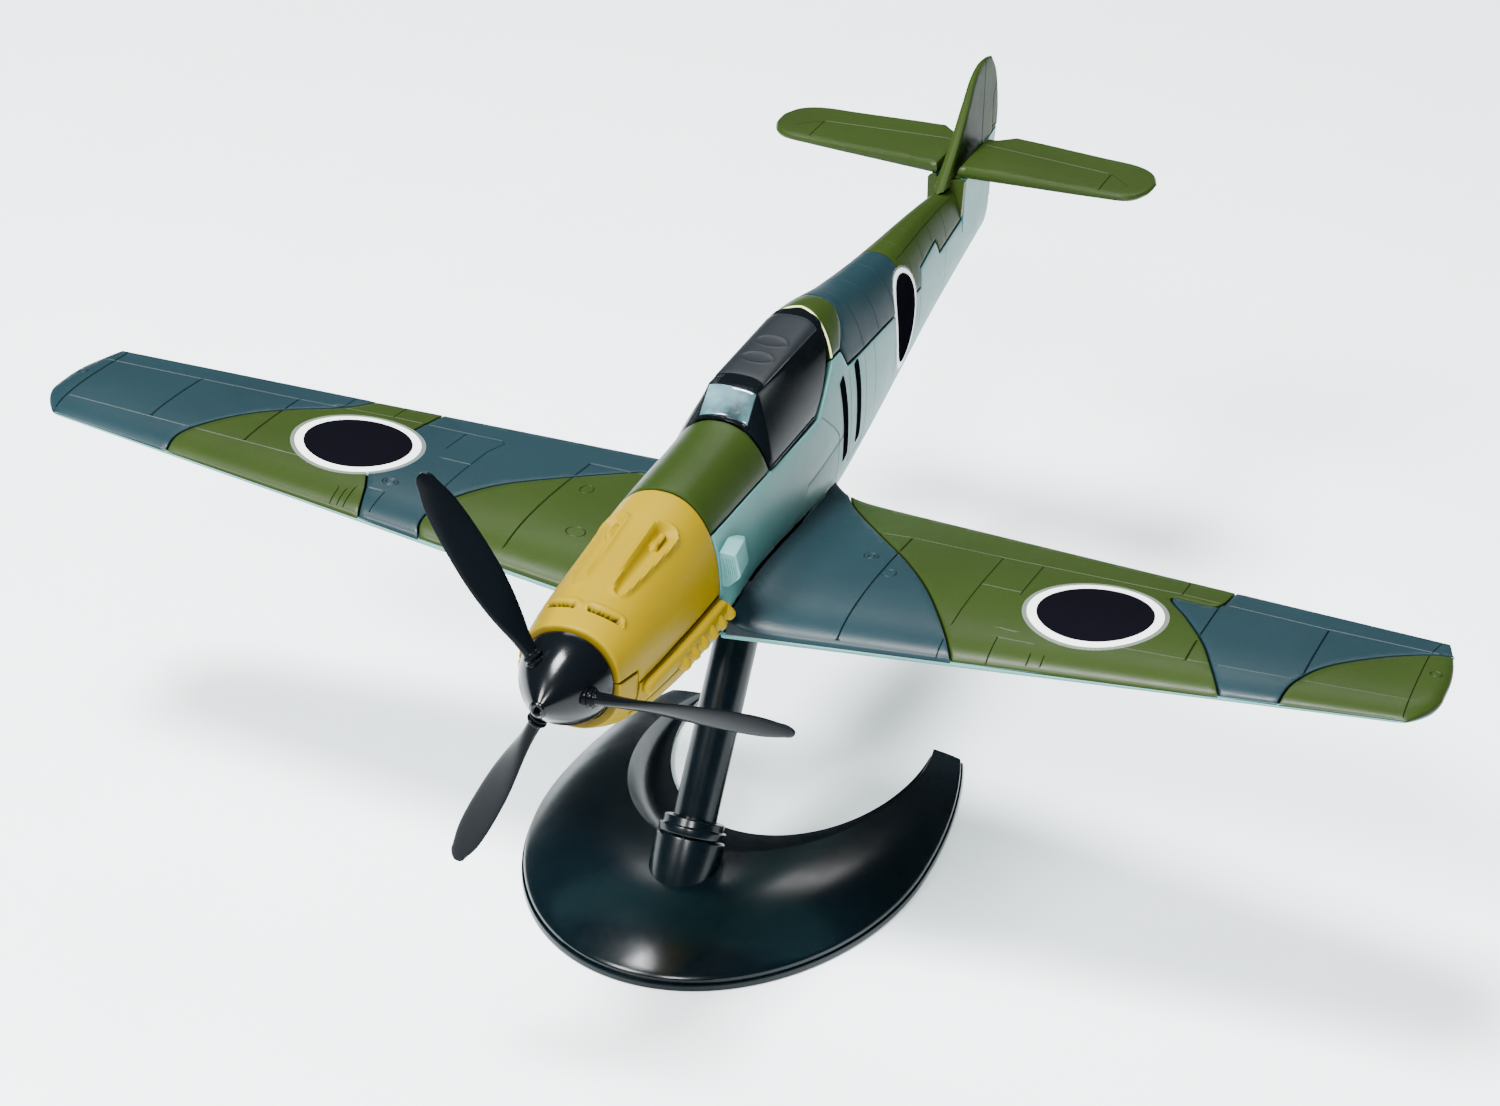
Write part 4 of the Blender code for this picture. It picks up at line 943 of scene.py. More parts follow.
def deck_outline(line, front=(0.0, full), rear=(0.0, full)):
    """The outline of a skin over the spine; its ends may lean aft towards the middle."""
    edge = [(y, angle_at(y, z)) for y, z in line]
    last = len(edge) - 1

    def point(i, j):
        y, a = edge[i]
        t = i / last
        lean = front[0] * (1 - t) ** 1.5 * front[1](j) + rear[0] * t * rear[1](j)
        return (y + lean, j * a * TURN)

    row = [k / 20 for k in range(-20, 21)]
    port = [point(i, 1) for i in range(1, last)]
    starboard = [point(i, -1) for i in range(last - 1, 0, -1)]
    return [point(0, j) for j in row] + port + [point(last, -j) for j in row] + starboard


def arc_line(y):
    """A line engraved across the spine."""
    return thin((y, -70.0 * TURN), (y, 70.0 * TURN))


def make_decks():
    gap = JOINT
    front = [(COWL_REAR + gap + 6.4 * n, SILL + gap) for n in range(4)] + [(DECK_REAR, SILL + gap)]
    skin_panel("deck_front", deck_outline(front), "green")
    collar = [(110.9, 15.6), (115.3, 15.4)]
    lean = (COLLAR_FRONT - 110.4, pointed)
    collar_loop = deck_outline(collar, lean, (COLLAR_LEAN, full))
    skin_panel("deck_rear_green", collar_loop, "green", spacing=0.7)
    collar_rim(lean)
    middle = [(115.6, 15.4), (117.1, 11.8), (124.0, 10.9), (132.0, 10.0), (140.0, 9.1), (148.0, 8.1)]
    middle += [(DECK_JOINT - gap, 7.2)]
    blue = deck_outline(middle, (COLLAR_LEAN, full))
    skin_panel("deck_mid_blue", blue, "saddle", [arc_line(y) for y in (127.0, 137.0, 147.5)])
    tail = [(DECK_JOINT + gap, 7.1), (166.2, 5.9), (167.4, 9.6), (173.0, 10.0), (179.5, 10.4), (181.3, 7.1)]
    tail += [(188.0, 7.2), (196.6, 7.5)]
    lines = [arc_line(y) for y in (162.0, 169.5, 177.0, 186.0)]
    lines += [thin((158.0, v), (194.0, v)) for v in (-5.2, 5.2)]
    skin_panel("deck_tail_green", deck_outline(tail), "spine", lines)


def collar_rim(lean):
    """A cream strip along the collar's front edge behind the canopy: a painted highlight."""
    line = []
    for k in range(-30, 31):
        j = k / 30
        y = 110.9 + lean[0] * lean[1](j) - 0.05
        degrees = j * angle_at(110.9, 15.6)
        p = np.array([float(v) for v in body_xyz(y, degrees, 0.12)])
        q = np.array([float(v) for v in body_xyz(y, degrees, -0.88)])
        line.append((p, q - p))
    # The strip's cream colour paints the highlight along the edge.
    solid("collar_rim", strip(line, 0.24, 0.2), "cream")


def side_upper():
    low = SILL - JOINT
    line = [(COWL_REAR + JOINT, low), (64.0, low), (77.0, low), (88.0, low), (99.8, low), (106.2, 12.6)]
    line += [(110.9, 15.2), (115.2, 15.0), (116.9, 11.4), (124.0, 10.5), (140.0, 8.7), (156.0, 6.8)]
    line += [(166.6, 5.5), (167.8, 9.2), (179.2, 9.9), (181.2, 6.6), (196.0, 6.9), (204.0, 7.2)]
    return line + [(213.2, 7.2), (TAIL_END, 7.2)]


def side_lower():
    line = [(y, angle_at(y, z)) for y, z in SIDE_TOE]
    for y in (57.0, 68.0, 79.0, 90.0, 100.0, 109.1):
        line.append((y, angle_at(y, float(wing_height(ROOT_X + 0.6, y, 1)) - 0.1)))
    rear = (110.5, 115.0, 121.0, 130.0, 143.0, 157.0, 166.0, 172.0, 179.0, 185.0, 196.0, 204.0, TAIL_END)
    return line + [(y, KEEL_ANGLE) for y in rear]


def side_grooves(sign):
    lines = (
        ((92.6, -1.6), (104.1, -1.1), (112.0, -0.6)),
        ((101.5, 8.0), (106.5, 4.0), (109.6, 1.0), (110.0, -6.0), (110.4, -14.0)),
        ((117.0, 9.5), (117.0, -8.4), (126.6, -8.0), (126.6, 8.6)),
        ((133.0, 8.6), (133.2, -12.0)),
        ((147.5, 7.4), (147.5, -11.0)),
        ((166.0, 4.0), (166.0, -8.0)),
        ((186.0, 6.0), (186.0, -6.0)),
    )
    return [thin(*by_height(line, sign)) for line in lines]


def make_sides():
    for sign, side in SIDES:
        lower = [(y, sign * v) for y, v in by_angle(side_lower())]
        outline = by_height(side_upper(), sign) + lower[::-1]
        skin_panel(f"side_{side}", outline, "pale", side_grooves(sign), 1.1)
        tail_cheek(f"side_{side}_cheek", sign)


def tail_cheek(name, sign):
    """The upright wall that carries the tailplane, above the rear end of a side skin."""
    rings = []
    for y, x in ((198.2, 3.85), (206.0, 3.5), (213.0, 3.0), (TAIL_END, 2.55)):
        loop = [(x - 1.2, 4.0), (x - 0.05, 4.0), (x - 0.05, 10.0), (x, CHEEK_TOP - 0.3), (x - 0.3, CHEEK_TOP)]
        rings.append([at(sign * px, y, pz) for px, pz in loop + [(x - 1.2, CHEEK_TOP)]])
    solid(name, rings_mesh(rings), "pale")


def make_liner():
    """The inner sleeve behind the joints of the rear fuselage's skins."""
    edge = np.linspace(-176.0, 176.0, 90)
    rows = np.linspace(COLLAR_FRONT + 2.0, TAIL_END - 2.5, 60)
    outer, inner = ([at(*body_xyz(y, edge, depth)) for y in rows] for depth in (WALL + 0.05, WALL + 0.45))
    sheet("tail_liner", outer, inner, "grey")


def make_belly():
    left = [(y, angle_at(y, BELLY_EDGE)) for y in (51.2, 60.0, 70.0, 80.0, 90.0, 100.0, 109.8)]
    right = [(y, 360.0 - a) for y, a in left]
    skin_panel("fuselage_belly", by_angle(left) + by_angle(right)[::-1], "pale", (), 1.6)


# ---------------------------------------------------------------- the nose


def slot_line(sign):
    """The middle of one of the two hooded slots at the front of the cowl."""
    return by_width(SLOT, sign, 0.3)


def trough_shape(uv):
    """Two gun troughs, each with a raised rim, and the two hooded slots in front of them, with painted shade
    in the slots.
    """
    sink = np.zeros(len(uv))
    dark = np.zeros(len(uv))
    for sign in (1, -1):
        line = np.array(by_width(TROUGH, sign))
        d = distance_to(uv, line)
        t = np.clip((uv[:, 0] - TROUGH[0][1]) / (TROUGH[-1][1] - TROUGH[0][1]), 0, 1)
        half = 0.5 + 1.25 * np.sqrt(t)
        bowl = np.clip(1 - (d / half) ** 2, 0, 1)
        sink += 1.3 * (0.25 + 0.75 * t) * bowl
        lip = np.exp(-(((d - half - 0.5) / 0.42) ** 2))
        sink -= 0.62 * lip * np.clip((uv[:, 0] - 21.0) / 4, 0, 1)
        barrel = distance_to(uv, line[len(line) * 4 // 5 :])
        sink -= 1.2 * np.exp(-((barrel / 0.6) ** 4))
        slot = np.array(slot_line(sign))
        d = distance_to(uv, slot)
        ahead = uv[:, 0] - np.interp(np.abs(uv[:, 1]), np.abs(slot[:, 1]), slot[:, 0])
        # Painted shade inside each hooded slot.
        dark = np.maximum(dark, np.clip(2.5 * (1 - d / 0.6), 0, 1))
        sink -= 0.45 * np.exp(-(((d - 1.1) / 0.5) ** 2)) * (ahead > 0)
    return sink, dark


def make_cowl():
    gap = JOINT
    top = by_height([(COWL_FRONT, 0.5 + gap), (18.4, gap)])
    top += by_height([(18.6, EXHAUST_TOP + gap), (COWL_REAR - gap, EXHAUST_TOP + gap)])
    top += [(y, -v) for y, v in top[::-1]]
    # The slots are also engraved lines, so they take the groove's painted shade as well.
    slots = [(slot_line(sign), 0.6, 1.0) for sign in (1, -1)]
    skin_panel("cowl_upper", top, "yellow", slots, 0.42, (trough_shape,), edge=0.45)
    low = by_height([(COWL_FRONT, 0.5 - gap), (18.2, -gap)])
    low += by_height([(18.7, EXHAUST_LOW - gap), (COWL_REAR - gap, EXHAUST_LOW - gap)])
    right = [(y, 360 * TURN - v) for y, v in low]
    skin_panel("cowl_lower", low + right[::-1], "yellow")
    for sign, side in SIDES:
        upper, lower = (
            by_height([(19.2, z), (COWL_REAR - gap, z)], sign) for z in (EXHAUST_TOP - gap, EXHAUST_LOW + gap)
        )
        skin_panel(f"exhaust_{side}", upper + lower[::-1], "yellow")
        exhaust_bar(f"exhaust_{side}_bar", sign)


def exhaust_bar(name, sign):
    """A rounded bar on the strip with six short rounded stubs below it."""

    def square(v):
        return math.copysign(abs(v) ** 0.75, v)

    rings = []
    ends = ((19.6, 0.15), (19.8, 0.6), (20.4, 0.9), (21.4, 1.0))
    for y, swell in ends + ((30.0, 1.0), (40.0, 1.0), (50.2, 1.0), (50.8, 0.7)):
        x = half_width(y, BAR_Z) + 0.75
        ring = [(swell * square(math.cos(a)), 1.35 * swell * square(math.sin(a))) for a in around(24)]
        rings.append([at(sign * (x + across), y, BAR_Z + up) for across, up in ring])
    parts = [rings_mesh(rings)]
    for n in range(STUBS):
        y = STUB_FIRST + STUB_STEP * n
        start = (sign * (half_width(y, BAR_Z) + 0.6), y, BAR_Z)
        parts.append(turned(start, (0.62 * sign, 0.20, -0.74), STUB_PROFILE, 20))
    solid(name, joined(parts), "yellow")


def scoop_ring(y, corners, radius):
    """A section of the intake, whose inner edge stays just off the side skin."""
    low, high = corners[-1][1], corners[0][1]
    inner = [(half_width(y, z) + 0.05, z) for z in (low, 0.5 * (low + high), high)]
    return [at(x, y, z) for x, z in rounded(list(corners) + inner, radius)]


def make_scoop():
    """The intake: a boxy scoop whose flat face has upright ribs."""
    face = [(13.3, 5.5), (14.4, 1.7), (14.1, 1.0), (12.2, -0.9)]
    back = [(13.2, 6.3), (14.2, 2.3), (13.9, 1.6), (12.0, -0.2)]
    rear = [(11.9, 5.0), (12.4, 2.6), (12.3, 2.2), (11.8, 1.0)]

    def between(a, b, t):
        return [(p[0] + (q[0] - p[0]) * t, p[1] + (q[1] - p[1]) * t) for p, q in zip(a, b)]

    sections_aft = (
        (51.8, [(x - 0.18, z - 0.1) for x, z in face], 0.2),
        (51.95, face, 0.25),
        (54.0, between(face, back, 0.5), 0.25),
        (55.6, between(face, back, 0.92), 0.25),
        (56.4, between(back, rear, 0.12), 0.25),
        (58.0, between(back, rear, 0.55), 0.2),
        (59.5, rear, 0.15),
    )
    solid("supercharger_intake", rings_mesh([scoop_ring(*section) for section in sections_aft]), "pale")
    ribs = []
    for k in range(7):
        t = 0.12 + 0.76 * k / 6
        low = np.array((11.5 + 2.5 * t, -0.5 + 1.8 * t))
        high = np.array((10.5 + 2.7 * t, 4.7 + 0.6 * t))
        rings = []
        for s, wide in ((0.06, 0.05), (0.1, 0.14), (0.9, 0.14), (0.94, 0.05)):
            x, z = low + (high - low) * s
            corners = ((-wide, 52.0), (wide, 52.0), (0.6 * wide, 51.62), (-0.6 * wide, 51.62))
            rings.append([at(x + dx, y, z) for dx, y in corners])
        ribs.append(rings_mesh(rings))
    solid("intake_ribs", joined(ribs), "pale")


# ---------------------------------------------------------------- propeller


def spinner_radius(y):
    return SPINNER_RADIUS * (1 - (1 - min(1.0, y / SPINNER_LENGTH)) ** 1.62) ** 0.9


def make_propeller():
    outline = [(0.9, 0.0), (0.9, 0.5), (0.15, 0.62), (0.0, 0.85), (0.05, 1.1), (0.3, 1.3), (0.42, 1.55)]
    start = 0.75
    for k in range(40):
        y = start + (SPINNER_LENGTH - start) * (k / 39) ** 1.3
        outline.append((y, spinner_radius(y)))
    outline += [(SPINNER_LENGTH, SPINNER_RADIUS - 0.9), (9.0, 6.0), (4.0, 2.6), (2.4, 0.0)]
    axle = rounded([(0.0, 0.0), (0.0, 1.2), (28.2, 1.2), (28.2, 0.0)], 0.2)

    def ring(length, bore, radius, corner):
        return rounded([(0.0, bore), (length, bore), (length, radius), (0.0, radius)], corner)

    for name, y, profile, sides, look in (
        ("spinner", 0.0, outline, 96, "black"),
        ("prop_hub", 5.0, ring(4.9, 1.35, 3.6, 0.3), 48, "black"),
        ("spinner_backplate", 10.4, ring(1.3, 1.5, 6.4, 0.3), 64, "black"),
        ("prop_axle", PROP_Y - 2.2, axle, 32, "grey"),
        ("axle_clip", 31.2, ring(1.2, 1.35, 3.0, 0.2), 40, "grey"),
    ):
        solid(name, turned((0, y, 0), (0, 1, 0), profile, sides), look, "propeller")
    for number, degrees in enumerate(BLADE_ANGLES, 1):
        make_blade(f"blade_{number}", degrees)


def blade_sections():
    """Distance out, half chord, half thickness and pitch in degrees along a blade, root to tip."""
    found = [(3.9, 1.3, 1.3, 60), (4.6, 1.3, 1.3, 60)]
    for k in range(3):
        start = 4.75 + 0.95 * k
        found += [(start + s, r, r, 60) for s, r in ROOT_RIB]
    found += spline(BLADE_SHAPE, 40)
    for k in range(1, 9):
        a = math.pi / 2 * k / 8
        wide, thick = max(0.12, 1.75 * math.cos(a)), 0.35 * (1 - 0.5 * k / 8)
        found.append((40.0 + 2.0 * math.sin(a), wide, thick, 20.5))
    return found


def make_blade(name, degrees):
    a = math.radians(degrees)
    aft = Vector((0, 1, 0))
    out = Vector((math.sin(a), 0, math.cos(a)))
    side = aft.cross(out)
    rings = []
    for r, wide, thick, pitch in blade_sections():
        p = math.radians(pitch)
        along = side * math.cos(p) + aft * math.sin(p)
        normal = aft * math.cos(p) - side * math.sin(p)
        middle = Vector((0, PROP_Y, 0)) + out * r
        ring = [along * (wide * math.cos(turn)) + normal * (thick * math.sin(turn)) for turn in around(32)]
        rings.append([at(*(middle + offset)) for offset in ring])
    solid(name, rings_mesh(rings), "blade", "propeller")


# ---------------------------------------------------------------- cockpit


def canopy_foot():
    """The windscreen's foot on the fuselage: distance aft, half width and height, sill to middle."""
    angle = angle_at(SCREEN_FOOT, SILL + 0.2)
    around_it = [body_xyz(SCREEN_FOOT, angle * share) for share in (1, 0.78, 0.6, 0.42, 0.25, 0)]
    return [(y, float(x), float(z)) for x, y, z in around_it]


def canopy_half(t):
    """Half of the canopy's section, sill to roof: t is 0 at the windscreen's foot and 1 at the rear rim."""
    if t <= SCREEN_T:
        a, b, s = canopy_foot(), SCREEN_TOP, t / SCREEN_T
    else:
        a, b, s = SCREEN_TOP, CANOPY_REAR, (t - SCREEN_T) / (1 - SCREEN_T)
    return [tuple(p + (q - p) * s for p, q in zip(m, n)) for m, n in zip(a, b)]


def through(points, u):
    """The smooth curve through equally spaced points, at the parameters u from 0 to 1."""
    points = np.array(points)
    knots = np.linspace(0, 1, len(points))
    total = 0
    for i, knot in enumerate(knots):
        weight = np.ones_like(u)
        for other in np.delete(knots, i):
            weight = weight * (u - other) / (knot - other)
        total = total + weight[:, None] * points[i]
    return total


def canopy_points(knots, u, across):
    """Points through a part of the canopy's half section, as x, y and z; across is their side."""
    found = through(knots, u)
    found[:, 1] *= across
    return found[:, [1, 0, 2]]


def canopy_roof(t, u):
    """Points on the roof or the flat windscreen: u is -1 to 1 across it."""
    return canopy_points(canopy_half(t)[3:][::-1], np.abs(u), np.sign(u))


def canopy_side(t, v, sign):
    """Points on a side of the canopy: v is 0 at the sill and 1 at the roof's edge."""
    return canopy_points(canopy_half(t)[:4], v, sign)


def canopy_section(t):
    up = np.linspace(0, 1, 15)[:-1]
    port = canopy_side(t, up, 1)
    roof = canopy_roof(t, np.linspace(1, -1, 21))
    starboard = canopy_side(t, up[::-1], -1)
    return np.concatenate([port, roof, starboard]).T


def make_canopy():
    stops = [SCREEN_T * k / 10 for k in range(10)] + [SCREEN_T + (1 - SCREEN_T) * k / 28 for k in range(29)]
    outer, inner = [], []
    for t in stops:
        x, y, z = canopy_section(t)
        outer.append(at(x, y, z))
        inner.append(at(x * 0.87, y + 0.5 - 0.5 * t, (z - SILL) * 0.92 + SILL + 0.05))
    sheet("canopy", outer, inner, "smoke", sharp=24)
    make_roof_panel()
    make_windscreen_pane()
    make_canopy_beads()


def conforming_plate(name, place, rows, columns, thick, look, dishes=()):
    """A thin plate over part of the canopy; place(t, u) gives its points, and its edges are rounded off."""
    outer, inner = [], []
    u = np.linspace(-1, 1, columns + 1)
    for i in range(rows + 1):
        base = place(i / rows, u)
        near = 1 - np.maximum(np.abs(u), abs(2 * i / rows - 1)) ** 14
        rise = thick * np.sqrt(np.clip(near, 0, 1))
        for x, y, wide, tall, deep in dishes:
            ratio = ((base[:, 0] - x) / wide) ** 2 + ((base[:, 1] - y) / tall) ** 2
            rim = 0.6 * deep * np.exp(-(((ratio - 1.15) / 0.2) ** 2))
            rise = rise - deep * np.clip(1 - ratio, 0, 1) ** 0.5 + rim
        out = base - np.array((0, 0, 8.0))
        out[:, 1] = 0
        out = out / np.linalg.norm(out, axis=1)[:, None]
        outer.append(at(*(base + out * (rise + 0.02)[:, None]).T))
        inner.append(at(*(base - out * 0.15).T))
    sheet(name, outer, inner, look, sharp=40)


def make_roof_panel():
    """The satin panel on the canopy's roof, with its two shallow oval dishes."""

    def place(s, u):
        t = SCREEN_T + 0.08 + (0.94 - SCREEN_T - 0.08) * s
        found = canopy_roof(t, u * 0.9)
        found[:, 1] += 0.35 * np.cos(3.1 * u) * (1 - 2 * s) if s < 0.5 else 0
        return found

    dishes = [(0.0, y, 2.8, 2.0, 0.12) for y in (93.4, 100.2)]
    conforming_plate("canopy_roof_panel", place, 90, 48, 0.12, "roof", dishes)


def make_windscreen_pane():
    """The clear flat pane at the front of the windscreen, drawn glossy and with a pale tint that is a painted
    reflection.
    """

    def place(s, u):
        t = SCREEN_T * (0.1 + 0.82 * s)
        return canopy_roof(t, u * (0.86 - 0.03 * s))

    conforming_plate("windscreen_pane", place, 30, 40, 0.14, "pane")


def make_canopy_beads():
    """The thin rims: along the windscreen's foot, and along each sill."""
    foot = []
    for u in np.linspace(-1, 1, 41):
        p = canopy_roof(0.02, np.array([u]))[0]
        foot.append((p, np.array((p[0] * 0.4, -3.0, 8.0))))
    ribs = [strip(foot, 0.26, 0.24)]
    for sign in (1, -1):
        sill = [canopy_side(t, np.array([0.02]), sign)[0] for t in np.linspace(0.01, 0.99, 60)]
        ribs.append(strip([(p, np.array((sign, 0.0, 0.15))) for p in sill], 0.22, 0.2))
    solid("canopy_beads", joined(ribs), "smoke")


def strip(points, wide, tall):
    """A raised rounded rib along a line of points, each with its own outward direction."""
    rings = []
    for i, (p, out) in enumerate(points):
        before, after = points[max(0, i - 1)][0], points[min(len(points) - 1, i + 1)][0]
        along = (after - before) / (np.linalg.norm(after - before) + 1e-12)
        out = out / np.linalg.norm(out)
        side = np.cross(along, out)
        ring = [p + side * (wide * math.cos(a)) + out * (tall * math.sin(a)) for a in around(12)]
        rings.append([at(*q) for q in ring])
    return rings_mesh(rings)


def box_mesh(low, high, radius=0.3):
    """A block whose upright edges are rounded, and whose top is drawn in a little."""
    (x0, y0, z0), (x1, y1, z1) = low, high
    loop = rounded([(x0, y0), (x1, y0), (x1, y1), (x0, y1)], radius, 3)
    inset = [(x * 0.96 + (x0 + x1) * 0.02, y * 0.96 + (y0 + y1) * 0.02) for x, y in loop]
    levels = ((loop, z0), (loop, z1 - 0.2), (inset, z1))
    return rings_mesh([[at(x, y, z) for x, y in ring] for ring, z in levels])


def make_cockpit():
    walls = [box_mesh((-7.0, 79.0, -0.9), (7.0, 110.0, 0.6))]
    walls += [box_mesh((x, 79.0, -0.9), (x + 1.2, 110.0, 6.5)) for x in (-7.0, 5.8)]
    walls += [box_mesh((-7.0, y, -0.9), (7.0, y + 1.2, 6.5)) for y in (79.0, 108.8)]
    solid("cockpit_tub", joined(walls), "grey")
    seat, back = ((-4.0, 94.0, 1.0), (4.0, 103.0, 3.4)), ((-4.0, 101.0, 1.2), (4.0, 103.6, 12.0))
    rest = ((-2.2, 101.2, 11.0), (2.2, 103.4, 16.0))
    solid("seat", joined([box_mesh(*corners, 0.8) for corners in (seat, back, rest)]), "grey")
    parts = [box_mesh((-5.2, 80.6, 1.0), (5.2, 82.0, 12.6))]
    dial = [(0, 0), (0, 1.1), (0.5, 1.1), (0.5, 0.8), (0.3, 0.8), (0.3, 0)]
    for x, z in ((-3.0, 9.5), (0.0, 9.8), (3.0, 9.5), (-1.6, 6.8), (1.6, 6.8)):
        parts.append(turned((x, 81.8, z), (0, 1, 0), dial, 24))
    solid("instrument_panel", joined(parts), "grey")


# ---------------------------------------------------------------- tail


def make_tail():
    front = ((2.2, 197.2), (16.0, 198.0), (30.0, 198.9), (37.2, 200.0), (40.0, 204.4), (40.4, 208.8))
    rear = ((40.4, 209.4), (38.4, 214.0), (34.0, 216.6), (26.0, 217.3), (14.0, 218.4))
    outline = spline(front, 40) + spline(rear, 30) + [(7.6, 218.8), (4.4, 215.6), (2.2, 215.2)]

    def place(uv, offset):
        return at(uv[:, 0], uv[:, 1], TAILPLANE_Z + offset)

    def thick(uv):
        c = np.clip((uv[:, 1] - 198.0) / 19.0, 0, 1)
        return (1.3 - 0.6 * np.abs(uv[:, 0]) / 40.0) * (1 - 0.55 * np.clip(c - 0.3, 0, 1))

    for sign, side in SIDES:
        loop = [(sign * x, y) for x, y in outline]
        hinge = thin((sign * 3.0, 211.4), (sign * 31.0, 209.0), (sign * 31.0, 199.9))
        horn = thin((sign * 31.0, 209.0), (sign * 35.6, 204.8))
        plate(f"tailplane_{side}", loop, place, thick, "green", [hinge, horn])
    make_fin()
    make_rudder_foot()


def make_fin():
    lead = ((191.5, 14.4), (200.0, 21.5), (206.0, 27.9), (209.8, 32.4), (214.0, 34.3), (218.6, 34.3))
    trail = ((LENGTH, 16.1), (LENGTH, 20.0), (227.0, 24.5), (225.0, 29.5), (221.4, 33.6))
    foot = [(y, float(sections(y)[0]) + 0.4) for y in np.linspace(192.5, 222.0, 16)]
    outline = spline(lead, 40) + [(min(LENGTH, y), z) for y, z in spline(trail, 24)[::-1]]
    outline += [(224.0, 16.0)] + foot[::-1]

    def place(uv, offset):
        return at(offset, uv[:, 0], uv[:, 1])

    def thick(uv):
        c = np.clip((uv[:, 0] - 206.0) / 22.0, 0, 1)
        return (0.8 + 0.5 * np.clip(1 - (uv[:, 1] - 14) / 20, 0, 1)) * (1 - 0.6 * c)

    lines = [[(216.5, 14.0), (216.8, 34.0)], [(224.0, 17.0), (226.2, 17.0)]]
    lines.append([(224.0, 10.0), (223.8, 24.0), (226.0, 27.5)])
    plate("tail_fin", outline, place, thick, "spine", [(line, *MIDDLE_LINE) for line in lines], 1.0, 0.7)
    rings = []
    for y, x in ((197.2, 2.3), (206.0, 1.95), (213.0, 1.45), (TAIL_END - 1.0, 1.0)):
        rings.append([at(a * x, y, z) for a, z in ((-1, 9.0), (1, 9.0), (1, CHEEK_TOP), (-1, CHEEK_TOP))])
    corners = rounded([(-3.7, 7.9), (3.7, 7.9), (3.9, CHEEK_TOP), (-3.9, CHEEK_TOP)], 0.3)
    face = [[at(x, y, z) for x, z in corners] for y in (196.7, 197.9)]
    solid("fin_block", joined([rings_mesh(rings), rings_mesh(face)]), "green")


def make_rudder_foot():
    front = TAIL_END + JOINT
    rings = []
    for z, y, wide in ((-3.4, 222.5, 1.0), (0.0, 224.6, 1.5), (8.0, 226.6, 1.5), (15.8, 227.7, 1.2)):
        loop = rounded([(-wide, front), (wide, front), (0.35, y), (-0.35, y)], 0.4)
        rings.append([at(px, py, z) for px, py in loop])
    solid("rudder_foot", rings_mesh(rings), "pale")


# ---------------------------------------------------------------- stickers


def decal(name, outline, surface, lift, look, spacing=1.2):
    """A very thin sheet that follows a surface, and stands this far above it."""
    loop = clean_loop(outline, spacing)
    uv, faces = triangles(loop, [], lattice(loop, spacing, 0.5 * spacing))
    points, faces = shell(faces, surface(lift)(uv, 0.0), surface(-0.3)(uv, 0.0))
    mesh_piece(name, points, faces, look)


def disc_mark(name, x, y, radius, surface):
    """A plain dark disc with a white edge on a slightly larger clear film."""
    for look, share, lift in MARK_LAYERS:
        r = radius * share
        loop = [(x + r * math.cos(a), y + r * math.sin(a)) for a in around(96)]
        decal(f"{name}_{look}", loop, surface, lift, look)


def make_stickers():
    for mark in WING_MARKS:
        disc_mark(*mark, wing_surface)
    for sign, side in SIDES:
        middle = sign * angle_at(SIDE_MARK_Y, SIDE_MARK_Z) * TURN
        disc_mark(f"mark_{side}", SIDE_MARK_Y, middle, SIDE_MARK_RADIUS, body_surface)
        for number, ends in enumerate(BARS):
            line = by_height(ends, sign)
            right, left = shifted(line, BAR_HALF), shifted(line, -BAR_HALF)
            loop = rounded([right[0], right[-1], left[-1], left[0]], 0.5)
            decal(f"bar_{side}_{number}", loop, body_surface, 0.07, "ink", 0.9)


# ---------------------------------------------------------------- the stand


def ellipse_point(ellipse, f):
    """A point on one of the crescent's plan curves; f runs from -1 to 1, from horn tip to horn tip."""
    middle, wide, front, rear, end = ellipse
    turn = math.radians(end * f)
    reach = front if math.cos(turn) > 0 else rear
    return np.array((wide * math.sin(turn), middle - reach * math.cos(turn)))


def dome_rise(s):
    """How much of the dome's height is reached at a fraction of the way from the rim to the ridge."""
    return 1 - (1 - s) ** 2.8


def base_section(f):
    """One cross-section of the crescent: a beaded rim, a blunt dome, a sharp ridge and a hollow slope."""
    outer, ridge, inner = (ellipse_point(e, f) for e in (BASE_OUTER, BASE_RIDGE, BASE_INNER))
    crown = BASE_CROWN - (BASE_CROWN - BASE_TIP) * f * f
    rim = min(BASE_RIM, 0.8 * crown)
    lip = 0.55 * rim
    foot = min(1.0, 0.5 * crown)
    inward = (ridge - outer) / np.linalg.norm(ridge - outer)
    step = outer + inward * 0.6
    bead = ((0.2, 0.0), (0.0, 0.2), (0.0, lip - 0.3), (0.12, lip - 0.06), (0.3, lip))
    groove = ((0.05, lip - 0.12), (0.05, lip + 0.15), (0.0, rim - 0.25), (0.12, rim))
    points = [(outer + inward * s, z) for s, z in bead] + [(step + inward * s, z) for s, z in groove]
    for k in range(1, 25):
        s = (k / 24) ** 1.25
        points.append((step + (ridge - step) * s, rim + (crown - rim) * dome_rise(s)))
    for k in range(1, 12):
        t = 1 - k / 12
        points.append((inner + (ridge - inner) * t, foot + (crown - foot) * t**3))
    points += [(inner, foot), (inner, 0.1), (inner, 0.0)]
    slope, dome = np.linalg.norm(ridge - inner), np.linalg.norm(ridge - outer)
    wall = min(1.8, 0.3 * (slope + dome))
    for u in (0.0, 0.001, 0.15, 0.3, 0.45, 0.6, 0.75, 0.9, 0.999, 1.0):
        along = wall + u * (slope + dome - 2 * wall)
        if along < slope:
            t = along / slope
            p, z = inner + (ridge - inner) * t, foot + t**3 * (crown - foot) - 1.4
        else:
            s = 1 - (along - slope) / dome
            p, z = outer + (ridge - outer) * s, rim + (crown - rim) * dome_rise(0.8 * s) - 1.6
        points.append((p, 0.0 if u in (0.0, 1.0) else max(0.4, z)))
    return [at(p[0], p[1], TABLE + z) for p, z in points]


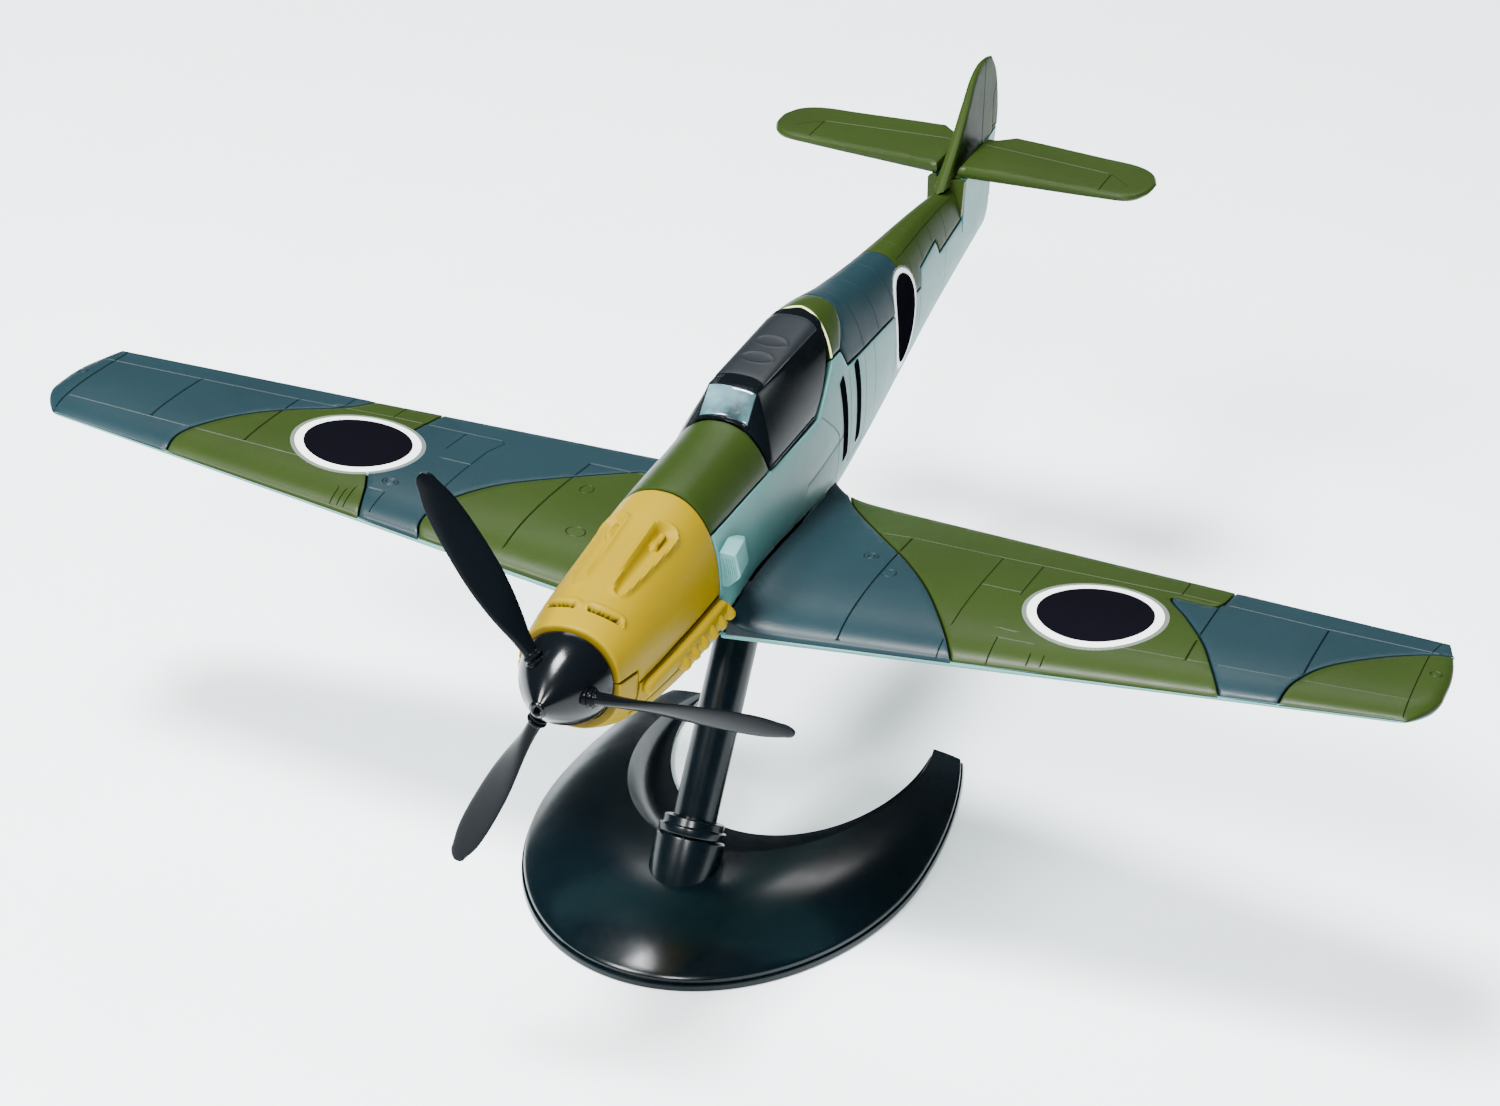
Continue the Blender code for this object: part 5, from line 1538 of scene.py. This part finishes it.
def make_stand():
    rings = [base_section(-1 + 2 * k / BASE_ROWS) for k in range(BASE_ROWS + 1)]
    solid("stand_base", rings_mesh(rings), "stand", "stand", 28)
    bore = POST_RADIUS + 0.3
    boss = [(-4.0, bore), (BOSS_TOP, bore), (BOSS_TOP, BOSS_RADIUS), (-4.0, BOSS_RADIUS)]
    collar = [(BOSS_TOP + 0.3, bore), (COLLAR_TOP, bore), (COLLAR_TOP, 5.7), (COLLAR_TOP - 1.6, 5.75)]
    collar += [(COLLAR_TOP - 1.6, 6.3), (BOSS_TOP + 0.3, 6.3)]
    shoulder = POST_LENGTH - SPIGOT_LENGTH
    post = [(0.3, 0.0), (0.3, POST_RADIUS), (shoulder, POST_RADIUS), (shoulder + 0.4, SPIGOT_RADIUS)]
    post += [(POST_LENGTH, SPIGOT_RADIUS), (POST_LENGTH, 0.0)]
    for name, profile, corner in (("boss", boss, 0.35), ("collar", collar, 0.28), ("post", post, 0.3)):
        shape = turned(POST_FOOT, POST_DIR, rounded(profile, corner), 80)
        solid(f"stand_{name}", shape, "stand", "stand")


# ---------------------------------------------------------------- the hidden core


def finish_core():
    """The inner pieces keep their CAD meshes, and take the grey moulded look."""
    for name in ("core_nose_block", "axle_bush", "core_keel", "belly_socket", "wing_spar"):
        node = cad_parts[name]
        node.data.materials.clear()
        node.data.materials.append(MATERIALS["grey"])


# ---------------------------------------------------------------- floor, light and camera


def area_light(name, place, size, power, colour):
    data = bpy.data.lights.new(name, "AREA")
    data.shape = "RECTANGLE"
    data.size, data.size_y = size
    data.energy = power
    data.color = colour
    light = bpy.data.objects.new(name, data)
    light.location = place
    light.rotation_euler = (LIGHT_AIM - Vector(place)).to_track_quat("-Z", "Y").to_euler()
    bpy.context.scene.collection.objects.link(light)
    return light


def make_studio():
    corners = [(x * FLOOR_HALF, y * FLOOR_HALF, -FLOOR_DROP) for x, y in ((-1, -1), (1, -1), (1, 1), (-1, 1))]
    mesh_piece("floor", corners, [(0, 1, 2, 3)], "floor", None)
    for light in LIGHTS:
        area_light(*light)
    world = bpy.data.worlds.new("studio")
    world.use_nodes = True
    background = world.node_tree.nodes["Background"]
    background.inputs["Color"].default_value = WORLD_COLOUR
    background.inputs["Strength"].default_value = WORLD_STRENGTH
    bpy.context.scene.world = world


def make_camera():
    data = bpy.data.cameras.new("camera")
    data.lens = CAMERA_LENS
    data.sensor_width = CAMERA_SENSOR
    camera = bpy.data.objects.new("camera", data)
    bpy.context.scene.collection.objects.link(camera)
    turn = Matrix((CAMERA_RIGHT, CAMERA_RIGHT.cross(CAMERA_FORWARD), -CAMERA_FORWARD)).transposed()
    camera.matrix_world = Matrix.Translation(CAMERA_PLACE) @ turn.to_4x4()
    bpy.context.scene.camera = camera


make_stand()
make_propeller()
make_cowl()
make_scoop()
make_canopy()
make_cockpit()
make_decks()
make_sides()
make_belly()
make_liner()
make_wings()
make_tail()
make_stickers()
finish_core()
make_studio()
make_camera()
bpy.context.view_layer.update()
